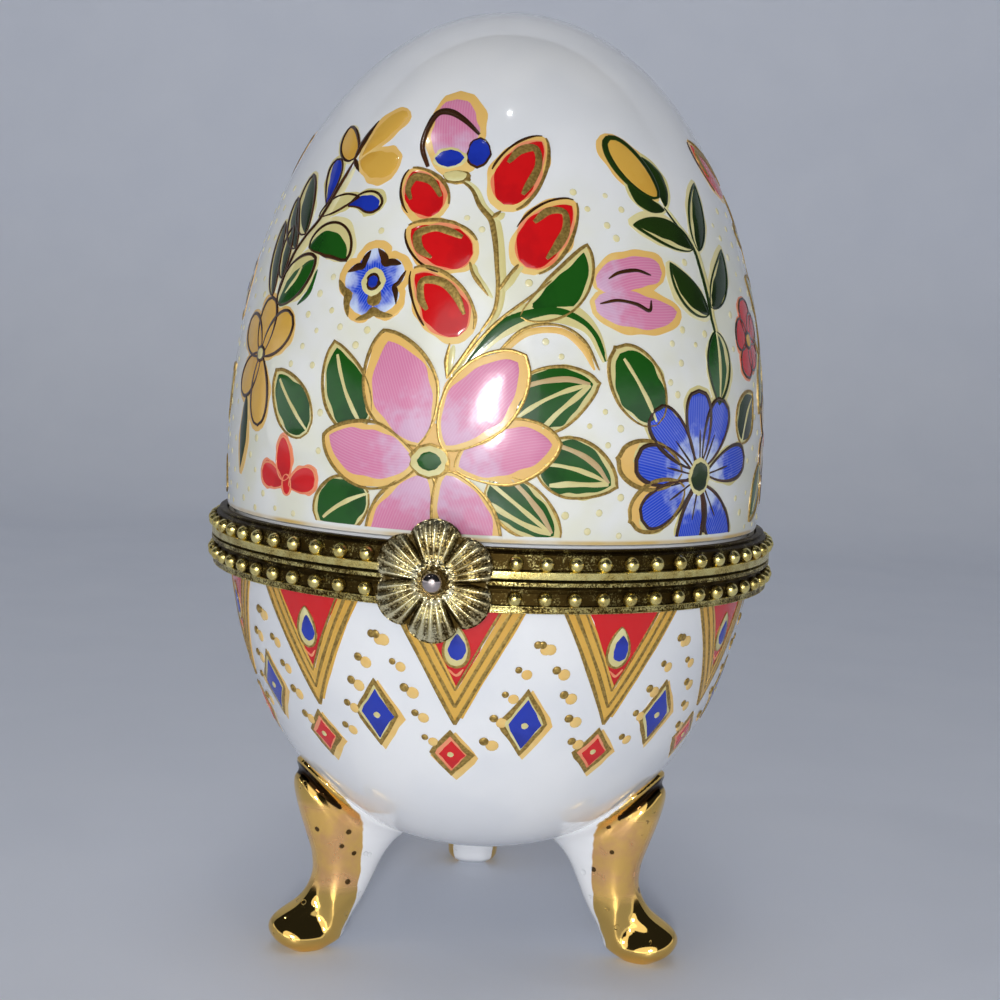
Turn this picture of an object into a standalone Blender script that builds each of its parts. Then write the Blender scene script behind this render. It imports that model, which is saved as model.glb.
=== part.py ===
"""Egg trinket box: a hinged porcelain egg on three feet, with two beaded brass bands and a flower clasp.

The egg stands on its feet with +Z up. The clasp faces -Y and the hinge is at +Y. The origin is on the
egg's axis, at the height of the soles. All sizes are in metres.
"""

from math import acos, atan2, cos, hypot, pi, radians, sin, sqrt

import bmesh
import bpy
from mathutils import Matrix, Vector

# The egg. Each bow is a half's pair of exponents, for its height and for its radius
HEIGHT = 0.125
BELLY_LIFT = 0.0134
WAIST_HEIGHT = 0.06515
WAIST_RADIUS = 0.0362
UPPER_BOW = (2.09, 2.06)
LOWER_BOW = (2.21, 2.51)
LID_WALL = 0.0026
BOWL_WALL = 0.0034
SEAM_HEIGHT = 0.0549

# The clear gap between neighbours, and the hinge's and the clasp's running gap
GAP = 0.0003

# The bands, the cement under them and the step that they sit in
RIM_STEP = 0.0007
CEMENT_THICK = 0.0005
BAND_WALL = 0.0012
BAND_FLANGE = 0.0006
LID_BAND_HEIGHT = 0.0034
BASE_BAND_HEIGHT = 0.0036
LIP_PROUD = 0.0006
LID_LIP_HEIGHT = 0.0009
BASE_LIP_HEIGHT = 0.0005
COLLAR_PROUD = 0.0004
COLLAR_HEIGHT = 0.00065
BEAD_RADIUS = 0.0009
BEAD_SINK = 0.0007
BEAD_ROW = 0.00195
BEAD_COUNT = 68

# The hinge
LEAF_WIDTH = 0.011
LEAF_THICK = 0.0008
KNUCKLE_RADIUS = 0.0016
KNUCKLE_LENGTH = 0.0032
PIN_RADIUS = 0.0006
PIN_PROUD = 0.0003
LID_OPENS = 65.0
STOP_LENGTH = 0.0023
STOP_THICK = 0.001
STOP_WIDTH = 0.0024
STOP_LEAD = 5.0

# The clasp
TONGUE_WIDTH = 0.0044
TONGUE_THICK = 0.0005
TONGUE_STANDOFF = 0.0003
TONGUE_LENGTH = 0.0069
ROOT_HEIGHT = 0.0013
NIB_DEPTH = 0.0003
NIB_HEIGHT = 0.0005
CATCH_RADIUS = 0.0010
FLOWER_RISE = -0.0002
PETAL_COUNT = 6
FLOWER_RADIUS = 0.0070
NOTCH_RADIUS = 0.0058
PETAL_ROUNDNESS = 0.7
PETAL_THICK = 0.0014
FLOWER_DISC = 0.0007
BOSS_RADIUS = 0.0021
FLOWER_BOSS = 0.0003
RECESS_RADIUS = 0.00135
BALL_RADIUS = 0.001
SHANK_RADIUS = 0.00045
RIVET_TAIL = 0.0004

# The feet. Each section has its share of the foot's height, then how far it reaches inwards and
# outwards from the middle of the sole, as shares of the toe's depth, and its width as a share of
# the toe's
FOOT_REACH = 0.025
FOOT_RISE = 0.0128
TOE_WIDTH = 0.0082
TOE_DEPTH = 0.0092
FOOT_SECTIONS = (
    (0.000, -0.283, 0.283, 0.71),
    (0.038, -0.490, 0.446, 0.90),
    (0.099, -0.580, 0.543, 1.00),
    (0.164, -0.680, 0.467, 1.00),
    (0.237, -0.810, 0.130, 0.95),
    (0.336, -0.960, -0.080, 0.90),
    (0.450, -1.120, -0.090, 0.93),
    (0.573, -1.310, 0.010, 1.05),
    (0.695, -1.450, 0.125, 1.17),
    (0.817, -1.490, 0.215, 1.22),
    (0.927, -1.490, 0.265, 0.98),
    (1.000, -1.490, 0.270, 0.63),
)
FOOT_SQUARENESS = 2.5
FOOT_SIDES = 16
FOOT_TURN = 10.0
FOOT_NAMES = {"foot_left": -65.0, "foot_right": 65.0, "foot_rear": 180.0}

# Roundness
RING_STEPS = 40
UPPER_POINTS = 13
LOWER_POINTS = 11
BEAD_SEGMENTS = (6, 4)
BALL_SEGMENTS = (12, 8)
PETAL_STEPS = 8
HOLE_STEPS = 20

# What follows from the sizes above
RIM_RADIUS = WAIST_RADIUS * (1 - ((WAIST_HEIGHT - SEAM_HEIGHT) / (WAIST_HEIGHT - BELLY_LIFT))
                             ** LOWER_BOW[0]) ** (1 / LOWER_BOW[1]) - RIM_STEP
CEMENT_RADIUS = RIM_RADIUS + GAP
BAND_INNER = CEMENT_RADIUS + CEMENT_THICK + GAP
BAND_OUTER = BAND_INNER + BAND_WALL
LIP_RADIUS = BAND_OUTER + LIP_PROUD
BEAD_CENTRE = BAND_OUTER + BEAD_RADIUS - BEAD_SINK
LID_SEAM = SEAM_HEIGHT + GAP / 2
BASE_SEAM = SEAM_HEIGHT - GAP / 2
LEAF_BACK = LIP_RADIUS + GAP
LEAF_FACE = LEAF_BACK + LEAF_THICK
HINGE_Y = LEAF_FACE + KNUCKLE_RADIUS - LEAF_THICK / 2
HINGE_AXIS = Vector((0, HINGE_Y, SEAM_HEIGHT))
TONGUE_BACK = -(LIP_RADIUS + GAP + TONGUE_STANDOFF + RIVET_TAIL)
TONGUE_FACE = TONGUE_BACK - TONGUE_THICK
TONGUE_TOP = LID_SEAM + BEAD_ROW + ROOT_HEIGHT / 2
FLEX_AXIS = Vector((0, TONGUE_BACK, LID_SEAM + BEAD_ROW))
FLOWER_HEIGHT = SEAM_HEIGHT + FLOWER_RISE
FLOWER_BACK = TONGUE_FACE - GAP
FLOWER_FACE = FLOWER_BACK - FLOWER_DISC - FLOWER_BOSS
BORE_RADIUS = SHANK_RADIUS + GAP

OBJECT_NAME = "egg_trinket_box"


def reset_scene():
    for old in list(bpy.data.objects):
        bpy.data.objects.remove(old, do_unlink=True)
    for name in (OBJECT_NAME, "cutters"):
        bpy.context.scene.collection.children.link(bpy.data.collections.new(name))


def material(name, colour, roughness, metallic=0.0):
    made = bpy.data.materials.new(name)
    made.use_nodes = True
    shader = made.node_tree.nodes["Principled BSDF"]
    shader.inputs["Base Color"].default_value = (*colour, 1)
    shader.inputs["Roughness"].default_value = roughness
    shader.inputs["Metallic"].default_value = metallic
    made.diffuse_color = (*colour, 1)
    return made


def glazed_porcelain():
    return material("glazed_porcelain", (0.80, 0.81, 0.84), 0.08)


def lustred_porcelain():
    return material("lustred_porcelain", (0.72, 0.43, 0.16), 0.22, 0.8)


def antique_brass():
    return material("antique_brass", (0.60, 0.46, 0.17), 0.3, 1.0)


def polished_steel():
    return material("polished_steel", (0.62, 0.52, 0.50), 0.15, 1.0)


def plaster_cement():
    return material("plaster_cement", (0.72, 0.69, 0.62), 0.9)


def add_object(name, mesh, made=None):
    """Puts a mesh into the scene: a part when it is given a material, and otherwise a cutter."""
    made_object = bpy.data.objects.new(name, mesh)
    if made is None:
        bpy.data.collections["cutters"].objects.link(made_object)
        made_object.hide_render = True
        made_object.display_type = "WIRE"
    else:
        bpy.data.collections[OBJECT_NAME].objects.link(made_object)
        mesh.materials.append(made)
    return made_object


def mesh_from(name, build):
    """Makes a mesh by running build on an empty bmesh."""
    bm = bmesh.new()
    build(bm)
    mesh = bpy.data.meshes.new(name)
    bm.to_mesh(mesh)
    bm.free()
    mesh.shade_smooth()
    mesh.set_sharp_from_angle(angle=radians(35))
    return mesh


def turned(name, profile, made=None, closed=True, steps=RING_STEPS):
    """Turns a profile of (radius, height) points round Z. The points run down the outer side."""

    def build(bm):
        points = [bm.verts.new((radius, 0, height)) for radius, height in profile]
        for start, end in zip(points, points[1:]):
            bm.edges.new((start, end))
        if closed:
            bm.edges.new((points[-1], points[0]))

    mesh = mesh_from(name, build)
    turned_object = add_object(name, mesh, made)
    screw = turned_object.modifiers.new("turn", "SCREW")
    screw.steps = steps
    screw.render_steps = steps
    screw.use_merge_vertices = True
    screw.merge_threshold = 0.00001
    screw.use_smooth_shade = True
    return turned_object


def rod(name, radius, start, end, made=None, steps=HOLE_STEPS):
    """A round rod between two points."""
    start, end = Vector(start), Vector(end)
    turn = (end - start).to_track_quat("Z", "Y").to_matrix().to_4x4()
    place = Matrix.Translation((start + end) / 2) @ turn

    def build(bm):
        bmesh.ops.create_cone(bm, cap_ends=True, segments=steps, radius1=radius, radius2=radius,
                              depth=(end - start).length, matrix=place)

    return add_object(name, mesh_from(name, build), made)


def block(name, low, high, made=None):
    """A box between two corners."""
    low, high = Vector(low), Vector(high)
    size = high - low

    def build(bm):
        bmesh.ops.create_cube(bm, size=1, matrix=Matrix.Translation((low + high) / 2)
                              @ Matrix.Diagonal((*size, 1)))

    return add_object(name, mesh_from(name, build), made)


def combine(target, operation, *tools):
    """Joins or cuts target with each tool in turn."""
    for tool in tools:
        boolean = target.modifiers.new(tool.name, "BOOLEAN")
        boolean.operation = operation
        boolean.solver = "EXACT"
        boolean.object = tool


def egg_radius(height, inset=0.0):
    """The egg's radius at a height, or that of a like egg that lies inset within it."""
    above = height > WAIST_HEIGHT
    reach = (HEIGHT - WAIST_HEIGHT if above else WAIST_HEIGHT - BELLY_LIFT) - inset
    bow = UPPER_BOW if above else LOWER_BOW
    share = min(abs(height - WAIST_HEIGHT) / reach, 1.0)
    return (WAIST_RADIUS - inset) * (1 - share ** bow[0]) ** (1 / bow[1])


def egg_arc(inset, upper, count):
    """Profile points of the upper or lower half, from the pole to the waist."""
    bow = UPPER_BOW if upper else LOWER_BOW
    reach = (HEIGHT - WAIST_HEIGHT if upper else WAIST_HEIGHT - BELLY_LIFT) - inset
    points = []
    for step in range(count):
        angle = pi / 2 * (1 - step / (count - 1))
        radius = (WAIST_RADIUS - inset) * max(cos(angle), 0.0) ** (2 / bow[1])
        height = reach * sin(angle) ** (2 / bow[0])
        points.append((0.0 if step == 0 else radius, WAIST_HEIGHT + (height if upper else -height)))
    return points


def below(points, height):
    return [point for point in points if point[1] < height]


def lid_shell():
    """The dome. Its wall ends in a step, so that the band lies flush round the rim."""
    step_height = LID_SEAM + LID_BAND_HEIGHT + GAP
    rim_height = LID_SEAM + BAND_FLANGE + GAP
    outer = egg_arc(0.0, True, UPPER_POINTS)
    outer.append((egg_radius(step_height), step_height))
    outer.append((RIM_RADIUS, step_height - RIM_STEP / 4))
    outer.append((RIM_RADIUS, rim_height))
    inner = egg_arc(LID_WALL, True, UPPER_POINTS - 2)
    inner.append((egg_radius(rim_height, LID_WALL), rim_height))
    return turned("lid_shell", outer + inner[::-1], glazed_porcelain(), closed=False)


def bowl():
    """The lower half of the egg, open above, with the same step round its rim."""
    step_height = BASE_SEAM - BASE_BAND_HEIGHT - GAP
    rim_height = BASE_SEAM - BAND_FLANGE - GAP
    outer = below(egg_arc(0.0, False, LOWER_POINTS), step_height)
    outer.append((egg_radius(step_height), step_height))
    outer.append((RIM_RADIUS, step_height + RIM_STEP / 4))
    outer.append((RIM_RADIUS, rim_height))
    inner = below(egg_arc(BOWL_WALL, False, LOWER_POINTS - 1), step_height)
    inner.append((egg_radius(rim_height, BOWL_WALL), rim_height))
    return turned("bowl", inner + outer[::-1], glazed_porcelain(), closed=False)


def cement(name, seam, side, band_height):
    """The cement ring between a band and the porcelain. side is 1 above the seam and -1 below."""
    near = seam + side * (BAND_FLANGE + GAP)
    far = seam + side * (band_height - GAP)
    low, high = sorted((near, far))
    outer = CEMENT_RADIUS + CEMENT_THICK
    ring = [(outer, high), (outer, low), (CEMENT_RADIUS, low), (CEMENT_RADIUS, high)]
    return turned(name, ring, plaster_cement())


def bead_row(name, height):
    """One row of beads, left out where the hinge leaves and the tongue's root lie."""
    clear_front = (TONGUE_WIDTH / 2 + GAP + BEAD_RADIUS) / BEAD_CENTRE
    clear_rear = (LEAF_WIDTH / 2 + GAP + BEAD_RADIUS) / BEAD_CENTRE
    segments, rings = BEAD_SEGMENTS

    def build(bm):
        for number in range(BEAD_COUNT):
            angle = 2 * pi * (number + 0.5) / BEAD_COUNT
            from_front = min(angle, 2 * pi - angle)
            if from_front < clear_front or pi - from_front < clear_rear:
                continue
            place = (Matrix.Rotation(angle, 4, "Z") @ Matrix.Translation((0, -BEAD_CENTRE, height))
                     @ Matrix.Rotation(pi / 2, 4, "X"))
            bmesh.ops.create_uvsphere(bm, u_segments=segments, v_segments=rings,
                                      radius=BEAD_RADIUS, matrix=place)

    return add_object(name, mesh_from(name, build))


def band(name, seam, side, band_height, lip_height, wall):
    """A brass band: lip at the seam, bead row, collar, and a flange over the porcelain's rim."""
    far = band_height
    collar = LIP_RADIUS - LIP_PROUD + COLLAR_PROUD
    collar_near = far - COLLAR_HEIGHT
    flange_inner = egg_radius(seam, wall)
    throat = min(BAND_INNER, egg_radius(seam + side * far) + GAP)
    outline = [
        (flange_inner, 0.0),
        (LIP_RADIUS, 0.0),
        (LIP_RADIUS, lip_height),
        (BAND_OUTER, lip_height + LIP_PROUD / 4),
        (BAND_OUTER, collar_near - COLLAR_PROUD / 2),
        (collar, collar_near),
        (BAND_OUTER, far),
        (throat, far),
        (throat, far - COLLAR_HEIGHT / 3),
        (BAND_INNER, far - COLLAR_HEIGHT / 2),
        (BAND_INNER, BAND_FLANGE),
        (flange_inner, BAND_FLANGE),
    ]
    profile = [(radius, seam + side * depth) for radius, depth in outline]
    if side > 0:
        profile.reverse()
    made = turned(name, profile, antique_brass())
    combine(made, "UNION", bead_row(name + "_beads", seam + side * BEAD_ROW))
    return made


def foot(name, azimuth, belly_cutter):
    """One foot: a lofted leg with a rounded toe, cut to the belly that it is luted to."""

    def ring(section):
        rise, inner, outer, width = section
        height = rise * (BELLY_LIFT + FOOT_RISE)
        middle = FOOT_REACH + TOE_DEPTH * (inner + outer) / 2
        half_depth = TOE_DEPTH * (outer - inner) / 2
        half_width = width * TOE_WIDTH / 2
        for number in range(FOOT_SIDES):
            angle = 2 * pi * number / FOOT_SIDES
            across = abs(cos(angle)) ** (2 / FOOT_SQUARENESS) * (1 if cos(angle) > 0 else -1)
            along = abs(sin(angle)) ** (2 / FOOT_SQUARENESS) * (1 if sin(angle) > 0 else -1)
            yield half_width * across, -(middle + half_depth * along), height

    def build(bm):
        rings = [[bm.verts.new(point) for point in ring(section)] for section in FOOT_SECTIONS]
        for lower, upper in zip(rings, rings[1:]):
            for number in range(FOOT_SIDES):
                after = (number + 1) % FOOT_SIDES
                bm.faces.new((lower[number], lower[after], upper[after], upper[number]))
        bm.faces.new(rings[0][::-1])
        bm.faces.new(rings[-1])
        bmesh.ops.recalc_face_normals(bm, faces=bm.faces)

    made = add_object(name, mesh_from(name, build), lustred_porcelain())
    made.rotation_euler.z = radians(azimuth + FOOT_TURN)
    combine(made, "DIFFERENCE", belly_cutter)
    return made


def belly_cutter():
    """The bowl's outside, one gap larger, closed above."""
    arc = below(egg_arc(-GAP, False, LOWER_POINTS), SEAM_HEIGHT)
    profile = arc + [(egg_radius(SEAM_HEIGHT, -GAP), SEAM_HEIGHT), (0.0, SEAM_HEIGHT)]
    return turned("belly_cutter", profile[::-1], closed=False)


def knuckle(name, start, end, made=None, radius=KNUCKLE_RADIUS):
    return rod(name, radius, (start, HINGE_Y, SEAM_HEIGHT), (end, HINGE_Y, SEAM_HEIGHT), made)


def hinge_leaf(name, side, far):
    """A leaf's plate on its band, from the seam to far, before its knuckles are joined on."""
    half = LEAF_WIDTH / 2
    near = SEAM_HEIGHT + side * GAP
    low, high = sorted((near, far))
    plate = block(name, (-half, LIP_RADIUS - LEAF_THICK, low), (half, LEAF_FACE, high), antique_brass())
    hollow = rod(name + "_hollow", LEAF_BACK, (0, 0, low - GAP), (0, 0, high + GAP),
                 steps=2 * RING_STEPS)
    combine(plate, "DIFFERENCE", hollow)
    return plate


def base_hinge_leaf():
    """The base's leaf with the two outer knuckles."""
    half = LEAF_WIDTH / 2
    inside = KNUCKLE_LENGTH / 2 + GAP
    leaf = hinge_leaf("base_hinge_leaf", -1, BASE_SEAM - BASE_BAND_HEIGHT)
    room = knuckle("base_leaf_room", -inside, inside, radius=KNUCKLE_RADIUS + GAP)
    combine(leaf, "DIFFERENCE", room)
    combine(leaf, "UNION", knuckle("base_knuckle_left", -half, -inside),
            knuckle("base_knuckle_right", inside, half))
    combine(leaf, "DIFFERENCE", knuckle("base_bore", -half - GAP, half + GAP, radius=PIN_RADIUS + GAP))
    return leaf


def lid_hinge_leaf():
    """The lid's leaf with the middle knuckle and the tail that stops the lid when it is open."""
    half = LEAF_WIDTH / 2
    mid = KNUCKLE_LENGTH / 2
    leaf = hinge_leaf("lid_hinge_leaf", 1, LID_SEAM + LID_BAND_HEIGHT)
    wide = KNUCKLE_RADIUS + GAP
    combine(leaf, "DIFFERENCE", knuckle("lid_leaf_room_left", -half - GAP, -mid, radius=wide),
            knuckle("lid_leaf_room_right", mid, half + GAP, radius=wide))
    # The tail meets the base leaf's rear face when the lid has turned LID_OPENS and STOP_LEAD more.
    corner = hypot(STOP_LENGTH, STOP_THICK / 2)
    meets = acos((LEAF_FACE - HINGE_Y) / corner) - atan2(STOP_THICK / 2, STOP_LENGTH)
    rest = meets - radians(LID_OPENS + STOP_LEAD)
    reach = STOP_WIDTH / 2
    start = PIN_RADIUS + GAP / 2
    tail = block("lid_stop_tail", (-reach, start, -STOP_THICK / 2), (reach, STOP_LENGTH, STOP_THICK / 2))
    tail.location = HINGE_AXIS
    tail.rotation_euler.x = -rest
    combine(leaf, "UNION", knuckle("lid_knuckle", -mid, mid), tail)
    combine(leaf, "DIFFERENCE", knuckle("lid_bore", -mid - GAP, mid + GAP, radius=PIN_RADIUS + GAP))
    return leaf


def pivot(name, place):
    found = bpy.data.objects.get(name)
    if found is None:
        found = bpy.data.objects.new(name, None)
        found.location = place
        bpy.data.collections[OBJECT_NAME].objects.link(found)
        bpy.context.view_layer.update()
    return found


def lid_pivot():
    return pivot("lid_pivot", HINGE_AXIS)


def clasp_pivot():
    return pivot("clasp_pivot", FLEX_AXIS)


def ride_on(carrier, *parts):
    for part in parts:
        part.parent = carrier
        part.matrix_parent_inverse = carrier.matrix_world.inverted()


def hinge_pin():
    reach = LEAF_WIDTH / 2 + PIN_PROUD
    return rod("hinge_pin", PIN_RADIUS, (-reach, HINGE_Y, SEAM_HEIGHT), (reach, HINGE_Y, SEAM_HEIGHT),
               polished_steel())


def clasp_tongue():
    """The sprung strip: its root on the lid band, and a nib at its end that passes the catch."""
    half = TONGUE_WIDTH / 2
    bottom = TONGUE_TOP - TONGUE_LENGTH
    tongue = block("clasp_tongue", (-half, TONGUE_FACE, bottom), (half, TONGUE_BACK, TONGUE_TOP),
                   antique_brass())
    inside = TONGUE_THICK / 2
    root = block("tongue_root", (-half, TONGUE_BACK - inside, TONGUE_TOP - ROOT_HEIGHT),
                 (half, -(BAND_OUTER + GAP), TONGUE_TOP))
    nib = block("tongue_nib", (-CATCH_RADIUS, TONGUE_BACK - inside, bottom),
                (CATCH_RADIUS, TONGUE_BACK + NIB_DEPTH, bottom + NIB_HEIGHT))
    combine(tongue, "UNION", root, nib)
    combine(tongue, "DIFFERENCE",
            rod("tongue_bore", BORE_RADIUS, (0, TONGUE_BACK + GAP, FLOWER_HEIGHT),
                (0, TONGUE_FACE - GAP, FLOWER_HEIGHT)))
    return tongue


def clasp_flower():
    """Six domed petals round a bored boss, whose recess holds the rivet's ball."""
    floor = FLOWER_BACK - FLOWER_DISC / 2
    crown = FLOWER_BACK - PETAL_THICK
    # Each ring: its radius at a petal's middle line and in the notch between petals, and its Y there
    rings = (
        (BORE_RADIUS, BORE_RADIUS, floor, floor),
        (RECESS_RADIUS, RECESS_RADIUS, floor, floor),
        (RECESS_RADIUS, RECESS_RADIUS, FLOWER_FACE, FLOWER_FACE),
        (BOSS_RADIUS, BOSS_RADIUS, FLOWER_FACE, FLOWER_FACE),
        (0.62 * FLOWER_RADIUS, 0.60 * NOTCH_RADIUS, crown, FLOWER_FACE),
        (0.90 * FLOWER_RADIUS, 0.92 * NOTCH_RADIUS, (crown + FLOWER_FACE) / 2, floor),
        (FLOWER_RADIUS, NOTCH_RADIUS, floor, floor),
        (0.94 * FLOWER_RADIUS, 0.94 * NOTCH_RADIUS, FLOWER_BACK, FLOWER_BACK),
        (BORE_RADIUS, BORE_RADIUS, FLOWER_BACK, FLOWER_BACK),
    )
    steps = PETAL_COUNT * PETAL_STEPS

    def build(bm):
        loops = []
        for petal_radius, notch_radius, petal_y, notch_y in rings:
            loop = []
            for number in range(steps):
                angle = 2 * pi * number / steps
                share = abs(cos(PETAL_COUNT * angle / 2)) ** PETAL_ROUNDNESS
                radius = notch_radius + (petal_radius - notch_radius) * share
                y = notch_y + (petal_y - notch_y) * share
                loop.append(bm.verts.new((radius * sin(angle), y, FLOWER_HEIGHT + radius * cos(angle))))
            loops.append(loop)
        for loop, next_loop in zip(loops, loops[1:] + loops[:1]):
            for number in range(steps):
                after = (number + 1) % steps
                bm.faces.new((loop[number], loop[after], next_loop[after], next_loop[number]))
        bmesh.ops.recalc_face_normals(bm, faces=bm.faces)

    return add_object("clasp_flower", mesh_from("clasp_flower", build), antique_brass())


def clasp_rivet():
    """A ball head in the flower's recess, a shank through flower and tongue, and a flat tail."""
    floor = FLOWER_BACK - FLOWER_DISC / 2
    middle = floor - sqrt((BALL_RADIUS + GAP) ** 2 - BORE_RADIUS ** 2)
    tail = TONGUE_BACK + GAP
    shank = rod("clasp_rivet", SHANK_RADIUS, (0, tail + RIVET_TAIL / 2, FLOWER_HEIGHT),
                (0, middle, FLOWER_HEIGHT), polished_steel())
    segments, rings = BALL_SEGMENTS

    def build(bm):
        bmesh.ops.create_uvsphere(bm, u_segments=segments, v_segments=rings, radius=BALL_RADIUS,
                                  matrix=Matrix.Translation((0, middle, FLOWER_HEIGHT))
                                  @ Matrix.Rotation(pi / 2, 4, "X"))

    head = add_object("rivet_ball", mesh_from("rivet_ball", build))
    foot_end = rod("rivet_tail", 2 * SHANK_RADIUS, (0, tail, FLOWER_HEIGHT),
                   (0, tail + RIVET_TAIL, FLOWER_HEIGHT))
    combine(shank, "UNION", head, foot_end)
    return shank


def catch():
    """The stud on the base band. Its face just clears the nib of the tongue."""
    height = BASE_SEAM - BEAD_ROW
    face = -(TONGUE_BACK + NIB_DEPTH) - GAP
    stud = rod("catch", CATCH_RADIUS, (0, -(BAND_OUTER + GAP), height), (0, -face, height),
               antique_brass())
    bevel = stud.modifiers.new("rounded_face", "BEVEL")
    bevel.width = CATCH_RADIUS / 4
    bevel.segments = 1
    bevel.limit_method = "ANGLE"
    return stud


def build_all():
    reset_scene()
    bowl()
    cutter = belly_cutter()
    for name, azimuth in FOOT_NAMES.items():
        foot(name, azimuth, cutter)
    cement("base_cement", BASE_SEAM, -1, BASE_BAND_HEIGHT)
    band("base_band", BASE_SEAM, -1, BASE_BAND_HEIGHT, BASE_LIP_HEIGHT, BOWL_WALL)
    base_hinge_leaf()
    hinge_pin()
    catch()
    lid_parts = [
        lid_shell(),
        cement("lid_cement", LID_SEAM, 1, LID_BAND_HEIGHT),
        band("lid_band", LID_SEAM, 1, LID_BAND_HEIGHT, LID_LIP_HEIGHT, LID_WALL),
        lid_hinge_leaf(),
    ]
    ride_on(lid_pivot(), *lid_parts)
    ride_on(clasp_pivot(), clasp_tongue(), clasp_flower(), clasp_rivet())
    clasp_pivot().parent = lid_pivot()
    clasp_pivot().matrix_parent_inverse = lid_pivot().matrix_world.inverted()


build_all()
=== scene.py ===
"""The looks of a hinged porcelain egg box: glaze, overglaze enamels, raised gold and beaded brass.

The egg stands on its feet with +Z up, its clasp facing -Y and its hinge at +Y. Sizes are in
millimetres, and become metres where a mesh is made. Azimuths run from the front towards +X.
"""

import math
import random

import bmesh
import bpy
import numpy as np
from mathutils import Matrix, Vector, kdtree


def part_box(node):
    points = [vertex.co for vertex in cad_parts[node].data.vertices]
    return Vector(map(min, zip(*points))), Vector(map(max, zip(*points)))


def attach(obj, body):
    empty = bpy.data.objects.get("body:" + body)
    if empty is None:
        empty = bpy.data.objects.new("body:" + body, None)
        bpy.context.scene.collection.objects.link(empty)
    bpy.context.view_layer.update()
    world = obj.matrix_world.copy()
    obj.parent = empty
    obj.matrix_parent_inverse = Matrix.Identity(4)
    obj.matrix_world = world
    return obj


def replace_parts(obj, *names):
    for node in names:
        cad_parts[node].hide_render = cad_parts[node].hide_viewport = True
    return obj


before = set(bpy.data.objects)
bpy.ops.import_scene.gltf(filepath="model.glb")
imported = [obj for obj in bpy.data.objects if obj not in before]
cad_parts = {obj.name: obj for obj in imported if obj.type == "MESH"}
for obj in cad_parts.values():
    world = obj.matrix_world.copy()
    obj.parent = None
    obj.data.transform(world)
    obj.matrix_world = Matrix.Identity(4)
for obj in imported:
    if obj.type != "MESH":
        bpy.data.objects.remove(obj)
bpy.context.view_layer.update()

MM = 0.001


def corner(node, side, axis):
    """A coordinate in mm of a CAD node's lowest (0) or highest (1) corner."""
    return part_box(node)[side][axis] / MM


# The egg, as the CAD model has it. Each bow is a half's pair of exponents, for height and radius
EGG_TOP = corner("lid_shell", 1, 2)
EGG_FOOT = corner("bowl", 0, 2)
WAIST_RADIUS = corner("lid_shell", 1, 0)
WAIST_HEIGHT = 65.15
UPPER_BOW = (2.09, 2.06)
LOWER_BOW = (2.21, 2.51)
LID_WALL = 2.6
BOWL_WALL = 3.4
GAP = 0.3

# The bands
LID_SEAM = corner("lid_band", 0, 2)
LID_BAND_TOP = corner("lid_band", 1, 2)
BASE_SEAM = corner("base_band", 1, 2)
BASE_BAND_FOOT = corner("base_band", 0, 2)
SEAM_HEIGHT = (LID_SEAM + BASE_SEAM) / 2
BAND_INNER = corner("lid_cement", 1, 0) + GAP
BAND_OUTER = BAND_INNER + 1.2
LIP_RADIUS = BAND_OUTER + 0.6
COLLAR_RADIUS = BAND_OUTER + 0.4
RIM_RADIUS = BAND_INNER - 1.1
BAND_FLANGE = 0.6
BEAD_RADIUS = 0.9
BEAD_CENTRE = BAND_OUTER + 0.2
BEAD_RISE = 1.95
BEAD_COUNT = 68
# How dark the base's lip and the bands' meeting faces are
DARKENED_LIP = 0.5
FILED_FACE = 0.4
# How many steps the turned pieces have round their axis
TURNS = 256
# The height where the motifs are cut off, and where the wash under them ends
MARGIN = 59.7
WASH_FOOT = LID_BAND_TOP + 0.45
# The heights between which the wash fades away
WASH_FADE = (90.0, 105.0)


def colour(code):
    """Turns an sRGB hex colour to linear."""
    channels = [int(code[start:start + 2], 16) / 255 for start in (1, 3, 5)]
    linear = [c / 12.92 if c <= 0.04045 else ((c + 0.055) / 1.055) ** 2.4 for c in channels]
    return (*linear, 1.0)


def add_node(tree, kind, inputs=None, **settings):
    """Adds a node with its settings. Each input is a value, or the output that feeds it."""
    made = tree.nodes.new(kind)
    for name, value in settings.items():
        setattr(made, name, value)
    for key, value in (inputs or {}).items():
        if isinstance(value, bpy.types.NodeSocket):
            tree.links.new(value, made.inputs[key])
        else:
            made.inputs[key].default_value = value
    return made


# Where a Mix node keeps its factor, its two colours and its result
FACTOR, FIRST, SECOND, MIXED = 0, 6, 7, 2


def maths(tree, operation, *values):
    return add_node(tree, "ShaderNodeMath", dict(enumerate(values)), operation=operation).outputs[0]


def stored(tree, name):
    """The number that a piece's mesh keeps for each of its points."""
    return add_node(tree, "ShaderNodeAttribute", attribute_name=name).outputs["Fac"]


def new_material(name):
    made = bpy.data.materials.new(name)
    made.use_nodes = True
    made.node_tree.nodes.clear()
    tree = made.node_tree
    shader = add_node(tree, "ShaderNodeBsdfPrincipled")
    output = add_node(tree, "ShaderNodeOutputMaterial")
    tree.links.new(shader.outputs[0], output.inputs[0])
    place = add_node(tree, "ShaderNodeTexCoord").outputs["Object"]
    return made, tree, shader, place


def mixed(tree, factor, first, second):
    return add_node(tree, "ShaderNodeMix", {FACTOR: factor, FIRST: first, SECOND: second},
                    data_type="RGBA").outputs[MIXED]


def ranged(tree, value, low, high, to_low=0.0, to_high=1.0):
    """Maps low..high of a value to to_low..to_high, held at the ends."""
    return add_node(tree, "ShaderNodeMapRange", {0: value, 1: low, 2: high, 3: to_low, 4: to_high},
                    interpolation_type="SMOOTHSTEP").outputs[0]


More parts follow.
